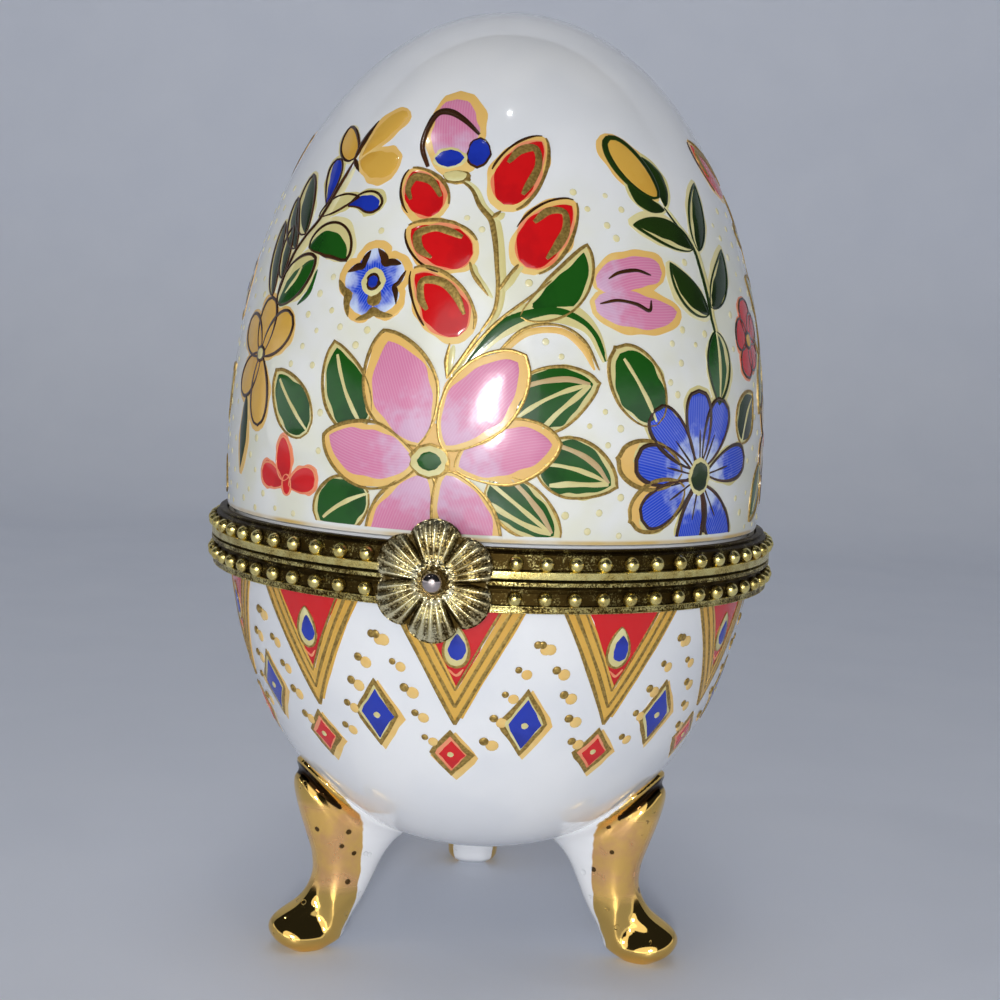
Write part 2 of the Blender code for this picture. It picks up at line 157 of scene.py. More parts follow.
def grain(tree, place, size, detail=2.0, roughness=0.5):
    """Noise whose blotches are about size mm across."""
    return add_node(tree, "ShaderNodeTexNoise", {"Vector": place, "Scale": 1 / (size * MM),
                    "Detail": detail, "Roughness": roughness}).outputs[0]


def relief(tree, shader, height, depth, strength=1.0):
    bump = add_node(tree, "ShaderNodeBump", {"Height": height, "Distance": depth * MM,
                    "Strength": strength})
    tree.links.new(bump.outputs[0], shader.inputs["Normal"])


def glazed_porcelain():
    """White porcelain under a clear glaze: near-mirror gloss, slightly wavy, with rare pinholes."""
    made, tree, shader, place = new_material("glazed_porcelain")
    cloud = grain(tree, place, 14)
    white = mixed(tree, ranged(tree, cloud, 0.35, 0.65), colour("#F4F5F6"), colour("#EBEDF0"))
    # The garden lies on a faint yellow wash, that fades towards the crown
    height = add_node(tree, "ShaderNodeSeparateXYZ", {0: place}).outputs["Z"]
    fade = ranged(tree, height, WASH_FADE[0] * MM, WASH_FADE[1] * MM, 0.75, 0.0)
    foot = ranged(tree, height, (WASH_FOOT - 0.2) * MM, (WASH_FOOT + 0.1) * MM)
    outside = stored(tree, "outside")
    printed = maths(tree, "MULTIPLY", foot, outside)
    garden = maths(tree, "MULTIPLY", fade, printed)
    patchy = ranged(tree, grain(tree, place, 7), 0.3, 0.7, 0.3, 1.0)
    wash = maths(tree, "MULTIPLY", garden, patchy)
    washed = mixed(tree, wash, white, colour("#ECEBD0"))
    # The print ends in a thin ochre line, that is washed out in places
    under = ranged(tree, height, (WASH_FOOT + 0.6) * MM, (WASH_FOOT + 0.2) * MM)
    line = maths(tree, "MULTIPLY", under, printed)
    worn = maths(tree, "MULTIPLY", line, patchy)
    body = mixed(tree, worn, washed, colour("#DDB866"))
    cells = add_node(tree, "ShaderNodeTexVoronoi", {"Vector": place, "Scale": 1 / (7 * MM)})
    speck = ranged(tree, cells.outputs["Distance"], 0.018, 0.028, 1.0, 0.0)
    rare = ranged(tree, grain(tree, place, 9), 0.60, 0.62)
    both = maths(tree, "MULTIPLY", speck, rare)
    tree.links.new(mixed(tree, both, body, colour("#5A4A3C")), shader.inputs["Base Color"])
    shader.inputs["Roughness"].default_value = 0.07
    shader.inputs["Coat Weight"].default_value = 0.5
    shader.inputs["Coat Roughness"].default_value = 0.03
    relief(tree, shader, grain(tree, place, 5, 1.0), 0.02, 0.6)
    return made


def antique_brass(name, rubbed, worn, bright_radius=None):
    """Cast brass, blackened in its recesses and rubbed bright where fingers touch it.

    bright_radius says from which radius to which the bands brighten. Other pieces keep their own
    tarnish on their points, and the blossom's also holds painted shade.
    """
    made, tree, shader, place = new_material(name)
    sand = grain(tree, place, 0.22, 3.0, 0.7)
    patch = grain(tree, place, 2.2, 3.0, 0.6)
    if bright_radius:
        flat = add_node(tree, "ShaderNodeVectorMath", {0: place, 1: (1, 1, 0)}, operation="MULTIPLY")
        out = add_node(tree, "ShaderNodeVectorMath", {0: flat.outputs[0]}, operation="LENGTH")
        low, high = bright_radius
        far = ranged(tree, out.outputs["Value"], low * MM, high * MM, 1, 0)
        # The base band's lower lip, below the seam, is made darker
        height = add_node(tree, "ShaderNodeSeparateXYZ", {0: place}).outputs["Z"]
        below = ranged(tree, height, (SEAM_HEIGHT + 0.02) * MM, (SEAM_HEIGHT - 0.02) * MM, 0.0, DARKENED_LIP)
        lower = ranged(tree, height, (BASE_SEAM - 0.95) * MM, (BASE_SEAM - 0.65) * MM)
        dull = maths(tree, "MULTIPLY", below, lower)
        edge = maths(tree, "ADD", far, dull)
        # The two faces that meet were filed flat, and keep each other clean
        away = maths(tree, "SUBTRACT", height, SEAM_HEIGHT * MM)
        apart = maths(tree, "ABSOLUTE", away)
        half_gap = (LID_SEAM - BASE_SEAM) / 2
        met = ranged(tree, apart, (half_gap + 0.1) * MM, (half_gap + 0.04) * MM)
        dark = add_node(tree, "ShaderNodeMix", {0: met, 2: edge, 3: FILED_FACE}).outputs[0]
    else:
        dark = stored(tree, "tarnish_and_shade")
    speckled = maths(tree, "ADD", ranged(tree, sand, 0.35, 0.65, -0.34, 0.34), dark)
    cloudy = maths(tree, "ADD", ranged(tree, patch, 0.3, 0.7, -0.2, 0.2), speckled)
    tarnish_and_shade = ranged(tree, cloudy, 0.05, 0.85)
    metal = mixed(tree, ranged(tree, patch, 0.35, 0.65), colour(rubbed), colour(worn))
    tree.links.new(mixed(tree, tarnish_and_shade, metal, colour("#3E3014")), shader.inputs["Base Color"])
    tree.links.new(ranged(tree, tarnish_and_shade, 0, 1, 0.22, 0.5), shader.inputs["Roughness"])
    shader.inputs["Metallic"].default_value = 1.0
    relief(tree, shader, sand, 0.05, 0.7)
    return made


def polished_steel():
    """Turned and polished steel: a clean mirror with a faint warm cast and fine wipe marks."""
    made, tree, shader, place = new_material("polished_steel")
    wipe = grain(tree, place, 0.4)
    tone = mixed(tree, wipe, colour("#D9CFCC"), colour("#B9A8A4"))
    tree.links.new(tone, shader.inputs["Base Color"])
    tree.links.new(ranged(tree, wipe, 0.3, 0.7, 0.1, 0.2), shader.inputs["Roughness"])
    shader.inputs["Metallic"].default_value = 1.0
    return made


def plaster_cement():
    """Set plaster cement: dull, chalky and sandy."""
    made, tree, shader, place = new_material("plaster_cement")
    sand = grain(tree, place, 0.5, 4.0)
    tree.links.new(mixed(tree, sand, colour("#D9D3C6"), colour("#B7AE9D")), shader.inputs["Base Color"])
    shader.inputs["Roughness"].default_value = 0.9
    relief(tree, shader, sand, 0.1, 0.8)
    return made


def lustred_porcelain():
    """Burnished, pitted and worn gold lustre on the porcelain's outward face, white behind; painted shade
    in its fold.
    """
    made, tree, shader, place = new_material("lustred_porcelain")
    front = stored(tree, "front")
    polish = stored(tree, "polish")
    wander = ranged(tree, grain(tree, place, 2.5), 0.2, 0.8, -0.03, 0.03)
    edge = maths(tree, "ADD", front, wander)
    gilt = ranged(tree, edge, -0.02, 0.02)
    cloud = grain(tree, place, 3.5, 4.0, 0.6)
    satin = mixed(tree, ranged(tree, cloud, 0.4, 0.68), colour("#FBCB72"), colour("#EDB87E"))
    cells = add_node(tree, "ShaderNodeTexVoronoi", {"Vector": place, "Scale": 1 / (2.1 * MM)})
    pit = ranged(tree, cells.outputs["Distance"], 0.15, 0.2, 1.0, 0.0)
    chosen = ranged(tree, grain(tree, place, 3.0), 0.43, 0.46)
    pits = maths(tree, "MULTIPLY", pit, chosen)
    pitted = mixed(tree, pits, satin, colour("#5E4520"))
    burnished = mixed(tree, polish, pitted, colour("#F2C870"))
    # Painted shade: the fold under the belly is painted nearly black
    fold = stored(tree, "fold")
    fold_shaded = mixed(tree, ranged(tree, fold, 0.35, 0.6), burnished, colour("#2C1C0B"))
    tree.links.new(mixed(tree, gilt, colour("#F0F1F3"), fold_shaded), shader.inputs["Base Color"])
    metal = ranged(tree, polish, 0, 1, 0.7, 1.0)
    gilded = maths(tree, "MULTIPLY", gilt, metal)
    tree.links.new(gilded, shader.inputs["Metallic"])
    dull = ranged(tree, cloud, 0.3, 0.7, 0.14, 0.28)
    smooth = add_node(tree, "ShaderNodeMix", {0: polish, 2: dull, 3: 0.06}).outputs[0]
    finish = add_node(tree, "ShaderNodeMix", {0: gilt, 2: 0.08, 3: smooth}).outputs[0]
    tree.links.new(finish, shader.inputs["Roughness"])
    hollow = maths(tree, "MULTIPLY", pits, -1.0)
    relief(tree, shader, hollow, 0.15, 0.8)
    return made


def pale_floor():
    """A painted board: matt, cool and even."""
    made, tree, shader, place = new_material("painted_board")
    fine = grain(tree, place, 30)
    tree.links.new(mixed(tree, fine, colour("#E0E5F0"), colour("#E8ECF5")), shader.inputs["Base Color"])
    shader.inputs["Roughness"].default_value = 0.55
    return made


def add_object(name, data):
    made = bpy.data.objects.new(name, data)
    bpy.context.scene.collection.objects.link(made)
    return made


def new_piece(name, points, faces, material, body, sharp):
    """Makes a piece from points in mm, turns its faces outwards and puts it on its body."""
    mesh = bpy.data.meshes.new(name)
    mesh.from_pydata((np.asarray(points, float) * MM).tolist(), [], faces)
    made = add_object(name, mesh)
    finish_mesh(mesh, sharp)
    mesh.materials.append(material)
    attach(made, body)
    return made


def finish_mesh(mesh, sharp):
    """Turns a mesh's faces outwards and smooths it, but for edges over sharp degrees."""
    bm = bmesh.new()
    bm.from_mesh(mesh)
    bmesh.ops.recalc_face_normals(bm, faces=bm.faces)
    bm.to_mesh(mesh)
    bm.free()
    mesh.shade_smooth()
    mesh.set_sharp_from_angle(angle=math.radians(sharp))


def store(mesh, name, values):
    """Keeps one number a point for a material to read."""
    attribute = mesh.attributes.new(name, "FLOAT", "POINT")
    attribute.data.foreach_set("value", np.asarray(values, np.float32))


def egg_profile(inset=0.0, count=400):
    """Radius and height from the bottom pole to the top one, of the egg that lies inset within."""
    turn = np.linspace(0, np.pi / 2, count)

    def half(reach, bow):
        radius = (WAIST_RADIUS - inset) * np.cos(turn).clip(0) ** (2 / bow[1])
        return radius, reach * np.sin(turn) ** (2 / bow[0])

    low_radius, low = half(WAIST_HEIGHT - EGG_FOOT - inset, LOWER_BOW)
    high_radius, high = half(EGG_TOP - WAIST_HEIGHT - inset, UPPER_BOW)
    radius = np.concatenate([low_radius[::-1], high_radius[1:]])
    height = np.concatenate([WAIST_HEIGHT - low[::-1], WAIST_HEIGHT + high[1:]])
    radius[0] = radius[-1] = 0.0
    return radius, height


EGG_RADIUS, EGG_HEIGHT = egg_profile()
EGG_ARC = np.concatenate([[0], np.cumsum(np.hypot(np.diff(EGG_RADIUS), np.diff(EGG_HEIGHT)))])
EGG_OUT = np.gradient(EGG_HEIGHT, EGG_ARC)
EGG_UP = -np.gradient(EGG_RADIUS, EGG_ARC)


def on_egg(azimuth, arc, lift):
    """Points at an azimuth in radians and an arc in mm from the bottom pole, lifted off the glaze."""
    radius = np.interp(arc, EGG_ARC, EGG_RADIUS) + lift * np.interp(arc, EGG_ARC, EGG_OUT)
    height = np.interp(arc, EGG_ARC, EGG_HEIGHT) + lift * np.interp(arc, EGG_ARC, EGG_UP)
    return np.stack([radius * np.sin(azimuth), -radius * np.cos(azimuth), height], -1)


def rounded(profile, radius, steps=4):
    """Rounds the corners of a closed profile of (radius, height) points."""
    points = np.asarray(profile, float)
    out = []
    for before, point, after in zip(np.roll(points, 1, 0), points, np.roll(points, -1, 0)):
        back, ahead = before - point, after - point
        reach = min(radius, np.hypot(*back) / 2.2, np.hypot(*ahead) / 2.2)
        start = point + back / np.hypot(*back) * reach
        end = point + ahead / np.hypot(*ahead) * reach
        for step in range(steps + 1):
            share = step / steps
            out.append((1 - share) ** 2 * start + 2 * share * (1 - share) * point + share ** 2 * end)
    return np.array(out)


def ring_faces(rows, count, closed_rows):
    """Quads between rows of count points each, where every row is a closed ring."""
    faces = []
    for row in range(rows if closed_rows else rows - 1):
        here, there = row * count, (row + 1) % rows * count
        for number in range(count):
            after = (number + 1) % count
            faces.append((here + number, here + after, there + after, there + number))
    return faces


def turned(name, profile, material, body, closed=True, sharp=40):
    """Turns a profile of (radius, height) points round Z. Points on the axis become poles."""
    azimuths = np.linspace(0, 2 * np.pi, TURNS, endpoint=False)
    rings = [(radius, height) for radius, height in profile if closed or radius > 1e-6]
    points = [(radius * math.sin(a), -radius * math.cos(a), height) for radius, height in rings
              for a in azimuths]
    faces = ring_faces(len(rings), TURNS, closed)
    if not closed:
        for pole, ring in ((profile[0], 0), (profile[-1], len(rings) - 1)):
            points.append((0.0, 0.0, pole[1]))
            start = ring * TURNS
            faces += [(start + n, start + (n + 1) % TURNS, len(points) - 1) for n in range(TURNS)]
    return new_piece(name, points, faces, material, body, sharp)


def between(profile, low, high):
    """The points of a profile that lie between two heights."""
    radius, height = profile
    keep = (height > low) & (height < high)
    return list(zip(radius[keep], height[keep]))


def thinned(profile, step):
    """Every step-th point of a dense profile, with both ends."""
    radius, height = profile
    picks = np.unique(np.append(np.arange(0, len(radius), step), len(radius) - 1))
    return radius[picks], height[picks]


def shell_profiles():
    """The lid's and the bowl's sections: outside, the step that holds the band, and inside."""
    def radius_at(height, inset):
        radius, heights = egg_profile(inset)
        return float(np.interp(height, heights, radius))

    lid_step, lid_rim = LID_BAND_TOP + GAP, LID_SEAM + BAND_FLANGE + GAP
    outer = between(thinned(egg_profile(), 5), lid_step + 0.4, EGG_TOP + 1)[::-1]
    step = [(radius_at(lid_step + 0.15, 0), lid_step + 0.15), (radius_at(lid_step, 0) - 0.15, lid_step),
            (RIM_RADIUS, lid_step - 0.1), (RIM_RADIUS, lid_rim), (radius_at(lid_rim, LID_WALL), lid_rim)]
    lid = outer + step + between(thinned(egg_profile(LID_WALL), 6), lid_rim, EGG_TOP)
    base_step, base_rim = BASE_BAND_FOOT - GAP, BASE_SEAM - BAND_FLANGE - GAP
    outer = between(thinned(egg_profile(), 5), EGG_FOOT - 1, base_step - 0.4)
    step = [(radius_at(base_step - 0.15, 0), base_step - 0.15), (radius_at(base_step, 0) - 0.15, base_step),
            (RIM_RADIUS, base_step + 0.1), (RIM_RADIUS, base_rim),
            (radius_at(base_rim, BOWL_WALL), base_rim)]
    bowl = outer + step + between(thinned(egg_profile(BOWL_WALL), 6), EGG_FOOT, base_rim)[::-1]
    return lid, bowl


def make_shells(glaze):
    """The lid and the bowl. The lid's points know whether they are outside, where the print is."""
    lid, bowl = shell_profiles()
    made = turned("lid_porcelain", lid, glaze, "lid", closed=False)
    points = np.array([vertex.co for vertex in made.data.vertices]) / MM
    surface = np.interp(points[:, 2], EGG_HEIGHT, EGG_RADIUS)
    store(made.data, "outside", np.hypot(points[:, 0], points[:, 1]) > surface - 0.9)
    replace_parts(made, "lid_shell")
    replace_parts(turned("bowl_porcelain", bowl, glaze, "base", closed=False), "bowl")


def radius_outside(height):
    return float(np.interp(height, EGG_HEIGHT, EGG_RADIUS))


def band_profile(side):
    """A band's section, from the seam away from it. side is 1 for the lid's and -1 for the base's."""
    seam = LID_SEAM if side > 0 else BASE_SEAM
    far = abs((LID_BAND_TOP if side > 0 else BASE_BAND_FOOT) - seam)
    lip = 0.9 if side > 0 else 0.5
    wall = LID_WALL if side > 0 else BOWL_WALL
    inner = float(np.interp(seam, *egg_profile(wall)[::-1]))
    throat = min(BAND_INNER, radius_outside(seam + side * far) + 0.02)
    outline = [(inner, 0.0), (LIP_RADIUS, 0.0), (LIP_RADIUS, lip), (BAND_OUTER, lip + 0.12)]
    if side > 0:
        # The lid band slopes in from its bead row to a thin top line
        outline += [(BAND_OUTER, 2.75), (BAND_OUTER - 0.1, 2.85), (BAND_OUTER - 0.55, far - 0.28),
                    (BAND_OUTER - 0.35, far - 0.2), (BAND_OUTER - 0.35, far)]
    else:
        # The base band is hollowed above its beads, and has a flat collar between two thin lines
        outline += [(BAND_OUTER - 0.2, lip + 0.5), (BAND_OUTER, lip + 0.95), (BAND_OUTER, 2.72),
                    (COLLAR_RADIUS, 2.78), (COLLAR_RADIUS, 2.92), (COLLAR_RADIUS - 0.12, 2.96),
                    (COLLAR_RADIUS - 0.12, far - 0.16), (COLLAR_RADIUS - 0.02, far - 0.12),
                    (COLLAR_RADIUS - 0.02, far)]
    outline += [(throat, far), (throat, far - 0.22), (BAND_INNER, far - 0.33),
                (BAND_INNER, BAND_FLANGE), (inner, BAND_FLANGE)]
    return [(radius, seam + side * depth) for radius, depth in outline]


def stud_tree():
    """Sets a domed stud on every point, turned to face along the point's facing."""
    tree = bpy.data.node_groups.new("studs_on_points", "GeometryNodeTree")
    face = tree.interface
    face.new_socket("Points", in_out="INPUT", socket_type="NodeSocketGeometry")
    for name, kind in (("Width", "NodeSocketFloat"), ("Height", "NodeSocketFloat"),
                       ("Segments", "NodeSocketInt"), ("Rings", "NodeSocketInt"),
                       ("Variation", "NodeSocketFloat"), ("Seed", "NodeSocketInt"),
                       ("Finish", "NodeSocketMaterial")):
        face.new_socket(name, in_out="INPUT", socket_type=kind)
    face.new_socket("Studs", in_out="OUTPUT", socket_type="NodeSocketGeometry")
    given = add_node(tree, "NodeGroupInput").outputs
    ball = add_node(tree, "GeometryNodeMeshUVSphere", {"Segments": given["Segments"],
                    "Rings": given["Rings"], "Radius": 0.5})
    size = add_node(tree, "ShaderNodeCombineXYZ", {0: given["Width"], 1: given["Width"],
                    2: given["Height"]})
    stud = add_node(tree, "GeometryNodeTransform", {"Geometry": ball.outputs[0], "Scale": size.outputs[0]})
    facing = add_node(tree, "GeometryNodeInputNamedAttribute", {"Name": "facing"},
                      data_type="FLOAT_VECTOR")
    turn = add_node(tree, "FunctionNodeAlignRotationToVector", {"Vector": facing.outputs[0]}, axis="Z")
    least = add_node(tree, "ShaderNodeMath", {0: 1.0, 1: given["Variation"]}, operation="SUBTRACT")
    chance = add_node(tree, "FunctionNodeRandomValue", {2: least.outputs[0], 3: 1.0,
                      "Seed": given["Seed"]}, data_type="FLOAT")
    set_on = add_node(tree, "GeometryNodeInstanceOnPoints", {"Points": given["Points"],
                      "Instance": stud.outputs[0], "Rotation": turn.outputs[0],
                      "Scale": chance.outputs[1]})
    real = add_node(tree, "GeometryNodeRealizeInstances", {"Geometry": set_on.outputs[0]})
    smooth = add_node(tree, "GeometryNodeSetShadeSmooth", {"Geometry": real.outputs[0]})
    finish = add_node(tree, "GeometryNodeSetMaterial", {"Geometry": smooth.outputs[0],
                      "Material": given["Finish"]})
    add_node(tree, "NodeGroupOutput", {"Studs": finish.outputs[0]})
    return tree


STUDS = stud_tree()


def studs(name, points, facings, material, body, slot, **sizes):
    """Makes one piece of studs at points in mm. sizes name the tree's inputs."""
    mesh = bpy.data.meshes.new(name + "_points")
    mesh.from_pydata((np.asarray(points, float) * MM).tolist(), [], [])
    attribute = mesh.attributes.new("facing", "FLOAT_VECTOR", "POINT")
    attribute.data.foreach_set("vector", np.asarray(facings, np.float32).ravel())
    seeds = add_object(name + "_points", mesh)
    modifier = seeds.modifiers.new("studs", "NODES")
    modifier.node_group = STUDS
    given = {"Segments": 12, "Rings": 8, "Variation": 0.0, "Seed": 7, "Finish": material, **sizes}
    for item in STUDS.interface.items_tree:
        if item.in_out == "INPUT" and item.name in given:
            modifier[item.identifier] = given[item.name]
    bpy.context.view_layer.update()
    evaluated = seeds.evaluated_get(bpy.context.evaluated_depsgraph_get())
    made_mesh = bpy.data.meshes.new_from_object(evaluated)
    bpy.data.objects.remove(seeds, do_unlink=True)
    made_mesh.name = name
    made = add_object(name, made_mesh)
    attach(made, body)
    return made


def bead_places(height):
    """The bead row's centres, left out where the hinge's leaves and the tongue's root lie."""
    tongue = math.degrees((corner("clasp_tongue", 1, 0) + GAP + BEAD_RADIUS) / BEAD_CENTRE)
    leaf = math.degrees((corner("lid_hinge_leaf", 1, 0) + GAP + BEAD_RADIUS) / BEAD_CENTRE)
    places, facings = [], []
    for number in range(BEAD_COUNT):
        azimuth = 360 * (number + 0.5) / BEAD_COUNT
        from_front = min(azimuth, 360 - azimuth)
        if tongue <= from_front <= 180 - leaf:
            out = Vector((math.sin(math.radians(azimuth)), -math.cos(math.radians(azimuth)), 0))
            places.append(out * BEAD_CENTRE + Vector((0, 0, height)))
            facings.append(out)
    return places, facings


def make_bands(brass):
    for side, body, node, seam in ((1, "lid", "lid_band", LID_SEAM), (-1, "base", "base_band", BASE_SEAM)):
        ring = turned(body + "_band_ring", rounded(band_profile(side), 0.09), brass, body,
                      sharp=50)
        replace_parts(ring, node)
        places, facings = bead_places(seam + side * (BEAD_RISE - 0.2 * (side > 0)))
        studs(body + "_beads", places, facings, brass, body, "antique_brass",
              Width=2 * BEAD_RADIUS * MM, Height=2 * BEAD_RADIUS * MM, Segments=20, Rings=14)


# Overglaze enamels, as pairs of sRGB colours: at a stroke's root and towards its tip. The gilt
# paste's are its dull and its bright colour
ENAMELS = {
    "straw": ("#EFE8BE", "#E9DDA2"), "pale_ochre": ("#F2CE80", "#EFC26E"), "cream": ("#E6DFA4", "#DDD190"),
    "yellow_ochre": ("#DDA944", "#E3B24E"), "red": ("#C8141A", "#D8161A"),
    "salmon": ("#F2895E", "#F49A70"), "leaf_green": ("#174A12", "#1D5716"),
    "dark_green": ("#1B2C10", "#22380F"), "pink": ("#DCB0CC", "#DD86AA"),
    "cobalt_blue": ("#D3E0F8", "#1D46D2"), "navy": ("#1B2F9C", "#2038B0"),
    "umber": ("#4A2A14", "#3A2210"), "biscuit": ("#D4BC8E", "#C8AC7C"),
    "gilt_brown": ("#8E7236", "#C2A155"),
}
# How far each enamel's edge stands off the glaze, in mm: ground colours, fills, then raised lines
LIFTS = {"straw": 0.02, "pale_ochre": 0.03, "salmon": 0.035, "cream": 0.12, "umber": 0.11,
         "gilt_brown": 0.13, "biscuit": 0.12}
FILL_LIFT = 0.07
GROUND_LIFT = 0.03
LINE_LIFT = 0.13
HATCHED = ("pink", "cobalt_blue")
HATCH_PITCH = 0.32


def overglaze_enamel(name, root, tip):
    """Fired enamel colour: glassy and a little raised, thinner and mottled where the brush lifted."""
    made, tree, shader, place = new_material("enamel_" + name)
    shade = stored(tree, "shade")
    cloud = grain(tree, place, 1.6, 3.0)
    wander = ranged(tree, cloud, 0.25, 0.75, -0.18, 0.18)
    reach = maths(tree, "ADD", shade, wander)
    paint = mixed(tree, ranged(tree, reach, 0.05, 0.55), colour(root), colour(tip))
    if name in HATCHED:
        # The printed tone shows as fine lines that run along each petal
        across = stored(tree, "across")
        turns = maths(tree, "MULTIPLY_ADD", across, 2 * math.pi / HATCH_PITCH, 0.0)
        wave = maths(tree, "SINE", turns)
        line = ranged(tree, wave, 0.0, 1.0, 0.0, 0.16 if name == "pink" else 0.22)
        paint = mixed(tree, line, paint, colour("#F3DCE8" if name == "pink" else "#B9CBF5"))
    tree.links.new(paint, shader.inputs["Base Color"])
    shader.inputs["Roughness"].default_value = 0.16
    shader.inputs["Coat Weight"].default_value = 0.3
    shader.inputs["Coat Roughness"].default_value = 0.05
    relief(tree, shader, cloud, 0.03, 0.6)
    return made


def gilt_paste(name, dull, bright):
    """Raised gold-brown paste: half metal, half ochre, grainy, with the shine rubbed on top."""
    made, tree, shader, place = new_material("relief_" + name)
    sand = grain(tree, place, 0.35, 3.0)
    tree.links.new(mixed(tree, ranged(tree, sand, 0.3, 0.7), colour(dull), colour(bright)),
                   shader.inputs["Base Color"])
    shader.inputs["Metallic"].default_value = 0.55
    shader.inputs["Roughness"].default_value = 0.34
    relief(tree, shader, sand, 0.04, 0.8)
    return made


def locate(places):
    """(azimuth in degrees, height in mm) to (azimuth in radians, arc in mm), for one or many."""
    places = np.asarray(places, float)
    return np.stack([np.radians(places[..., 0]), np.interp(places[..., 1], EGG_HEIGHT, EGG_ARC)], -1)


def egg_radius(arc):
    return np.interp(arc, EGG_ARC, EGG_RADIUS)


def moved(place, right, up):
    """A place (azimuth, arc) moved over the glaze by right and up in mm."""
    return np.array([place[0] + right / egg_radius(place[1]), place[1] + up])


def sideways(path, distances):
    """Moves each point of a path of (azimuth, arc) to its left by a distance in mm."""
    middle = path[:, 0].mean()
    flat = np.stack([(path[:, 0] - middle) * egg_radius(path[:, 1]), path[:, 1]], -1)
    along = np.gradient(flat, axis=0)
    along /= np.hypot(along[:, 0], along[:, 1])[:, None] + 1e-9
    shifted = flat + np.stack([-along[:, 1], along[:, 0]], -1) * np.asarray(distances)[:, None]
    return np.stack([middle + shifted[:, 0] / egg_radius(shifted[:, 1]), shifted[:, 1]], -1)


def curve_through(places, count):
    """A smooth path of count points through places of (azimuth, arc)."""
    ends = np.vstack([2 * places[0] - places[1], places, 2 * places[-1] - places[-2]])
    path = []
    for share in np.linspace(0, len(places) - 1, count):
        number = min(int(share), len(places) - 2)
        t = share - number
        a, b, c, d = ends[number:number + 4]
        path.append(0.5 * (2 * b + (c - a) * t + (2 * a - 5 * b + 4 * c - d) * t ** 2
                           + (3 * b - a - 3 * c + d) * t ** 3))
    return np.array(path)


def bent(base, tip, bow, count):
    """A path from base to tip whose middle stands bow mm to the left."""
    share = np.linspace(0, 1, count)
    straight = base + (tip - base) * share[:, None]
    return sideways(straight, bow * 4 * share * (1 - share)) if bow else straight


def spindle(share, fullness):
    """A leaf's half width along it, with 1 at its widest. Less fullness makes an end blunter."""
    low, high = fullness
    peak = low / (low + high)
    return share ** low * (1 - share) ** high / (peak ** low * (1 - peak) ** high)


class Enamels:
    """Gathers the strips of each colour for one body, then makes each colour one piece."""

    def __init__(self, body, foot=0.0):
        self.body = body
        self.foot = foot
        self.layers = {}
        self.random = random.Random(11)

    def uneven(self, halves):
        """Half widths for a strip's two sides, which waver as hand-laid colour does."""
        share = np.linspace(0, 1, len(halves))
        sides = []
        for _ in range(2):
            slow, fast = self.random.uniform(0, 6.3), self.random.uniform(0, 6.3)
            waver = 0.07 * np.sin(8 * share + slow) + 0.035 * np.sin(21 * share + fast)
            sides.append(np.maximum(halves, 0.05) * (1 + waver))
        return sides

    def strip(self, colour_name, path, halves, across=4, dome=0.06, lift=None):
        """Lays a strip of enamel along a path, domed on top and closed underneath.

        Nothing is laid under the arc self.foot, where the band begins.
        """
        sides = self.uneven(halves)
        lift = LIFTS.get(colour_name, FILL_LIFT) if lift is None else lift
        places = list(np.linspace(-1, 1, across + 1)) + [1, -1]
        spots = np.stack([sideways(path, -sides[int(place > 0)] * place) for place in places])
        above = np.nonzero(spots[..., 1].max(0) > self.foot)[0]
        if len(above) < 2:
            return
        kept = slice(max(above[0] - 1, 0), above[-1] + 2)
        spots = spots[:, kept]
        spots[..., 1] = np.maximum(spots[..., 1], self.foot)
        rows = spots.shape[1]
        points, measures = [], []
        for place, spot in zip(places, spots):
            half = sides[int(place > 0)][kept]
            under = len(points) > across
            rise = -0.05 if under else lift + dome * (1 - place ** 2) * np.minimum(1, half / 0.4)
            points.append(on_egg(spot[:, 0], spot[:, 1], rise))
            measures.append(half * place)
        columns = len(points)
        layer = self.layers.setdefault(colour_name, {"points": [], "faces": [], "shade": [], "across": []})
        start = sum(len(part) for part in layer["points"])
        faces = ring_faces(rows, columns, False)
        faces += [tuple(range(columns)), tuple((rows - 1) * columns + n for n in range(columns))]
        layer["points"].append(np.stack(points, 1).reshape(-1, 3))
        layer["faces"] += [tuple(start + corner_number for corner_number in face) for face in faces]
        layer["shade"].append(np.repeat(np.linspace(0, 1, len(path))[kept], columns))
        layer["across"].append(np.stack(measures, 1).ravel())

    def make(self, materials):
        for colour_name, layer in self.layers.items():
            made = new_piece(f"{self.body}_{colour_name}_enamel", np.concatenate(layer["points"]),
                             layer["faces"], materials[colour_name], self.body, 30)
            store(made.data, "shade", np.concatenate(layer["shade"]))
            store(made.data, "across", np.concatenate(layer["across"]))

    def all_points(self):
        return np.concatenate([part for layer in self.layers.values() for part in layer["points"]])


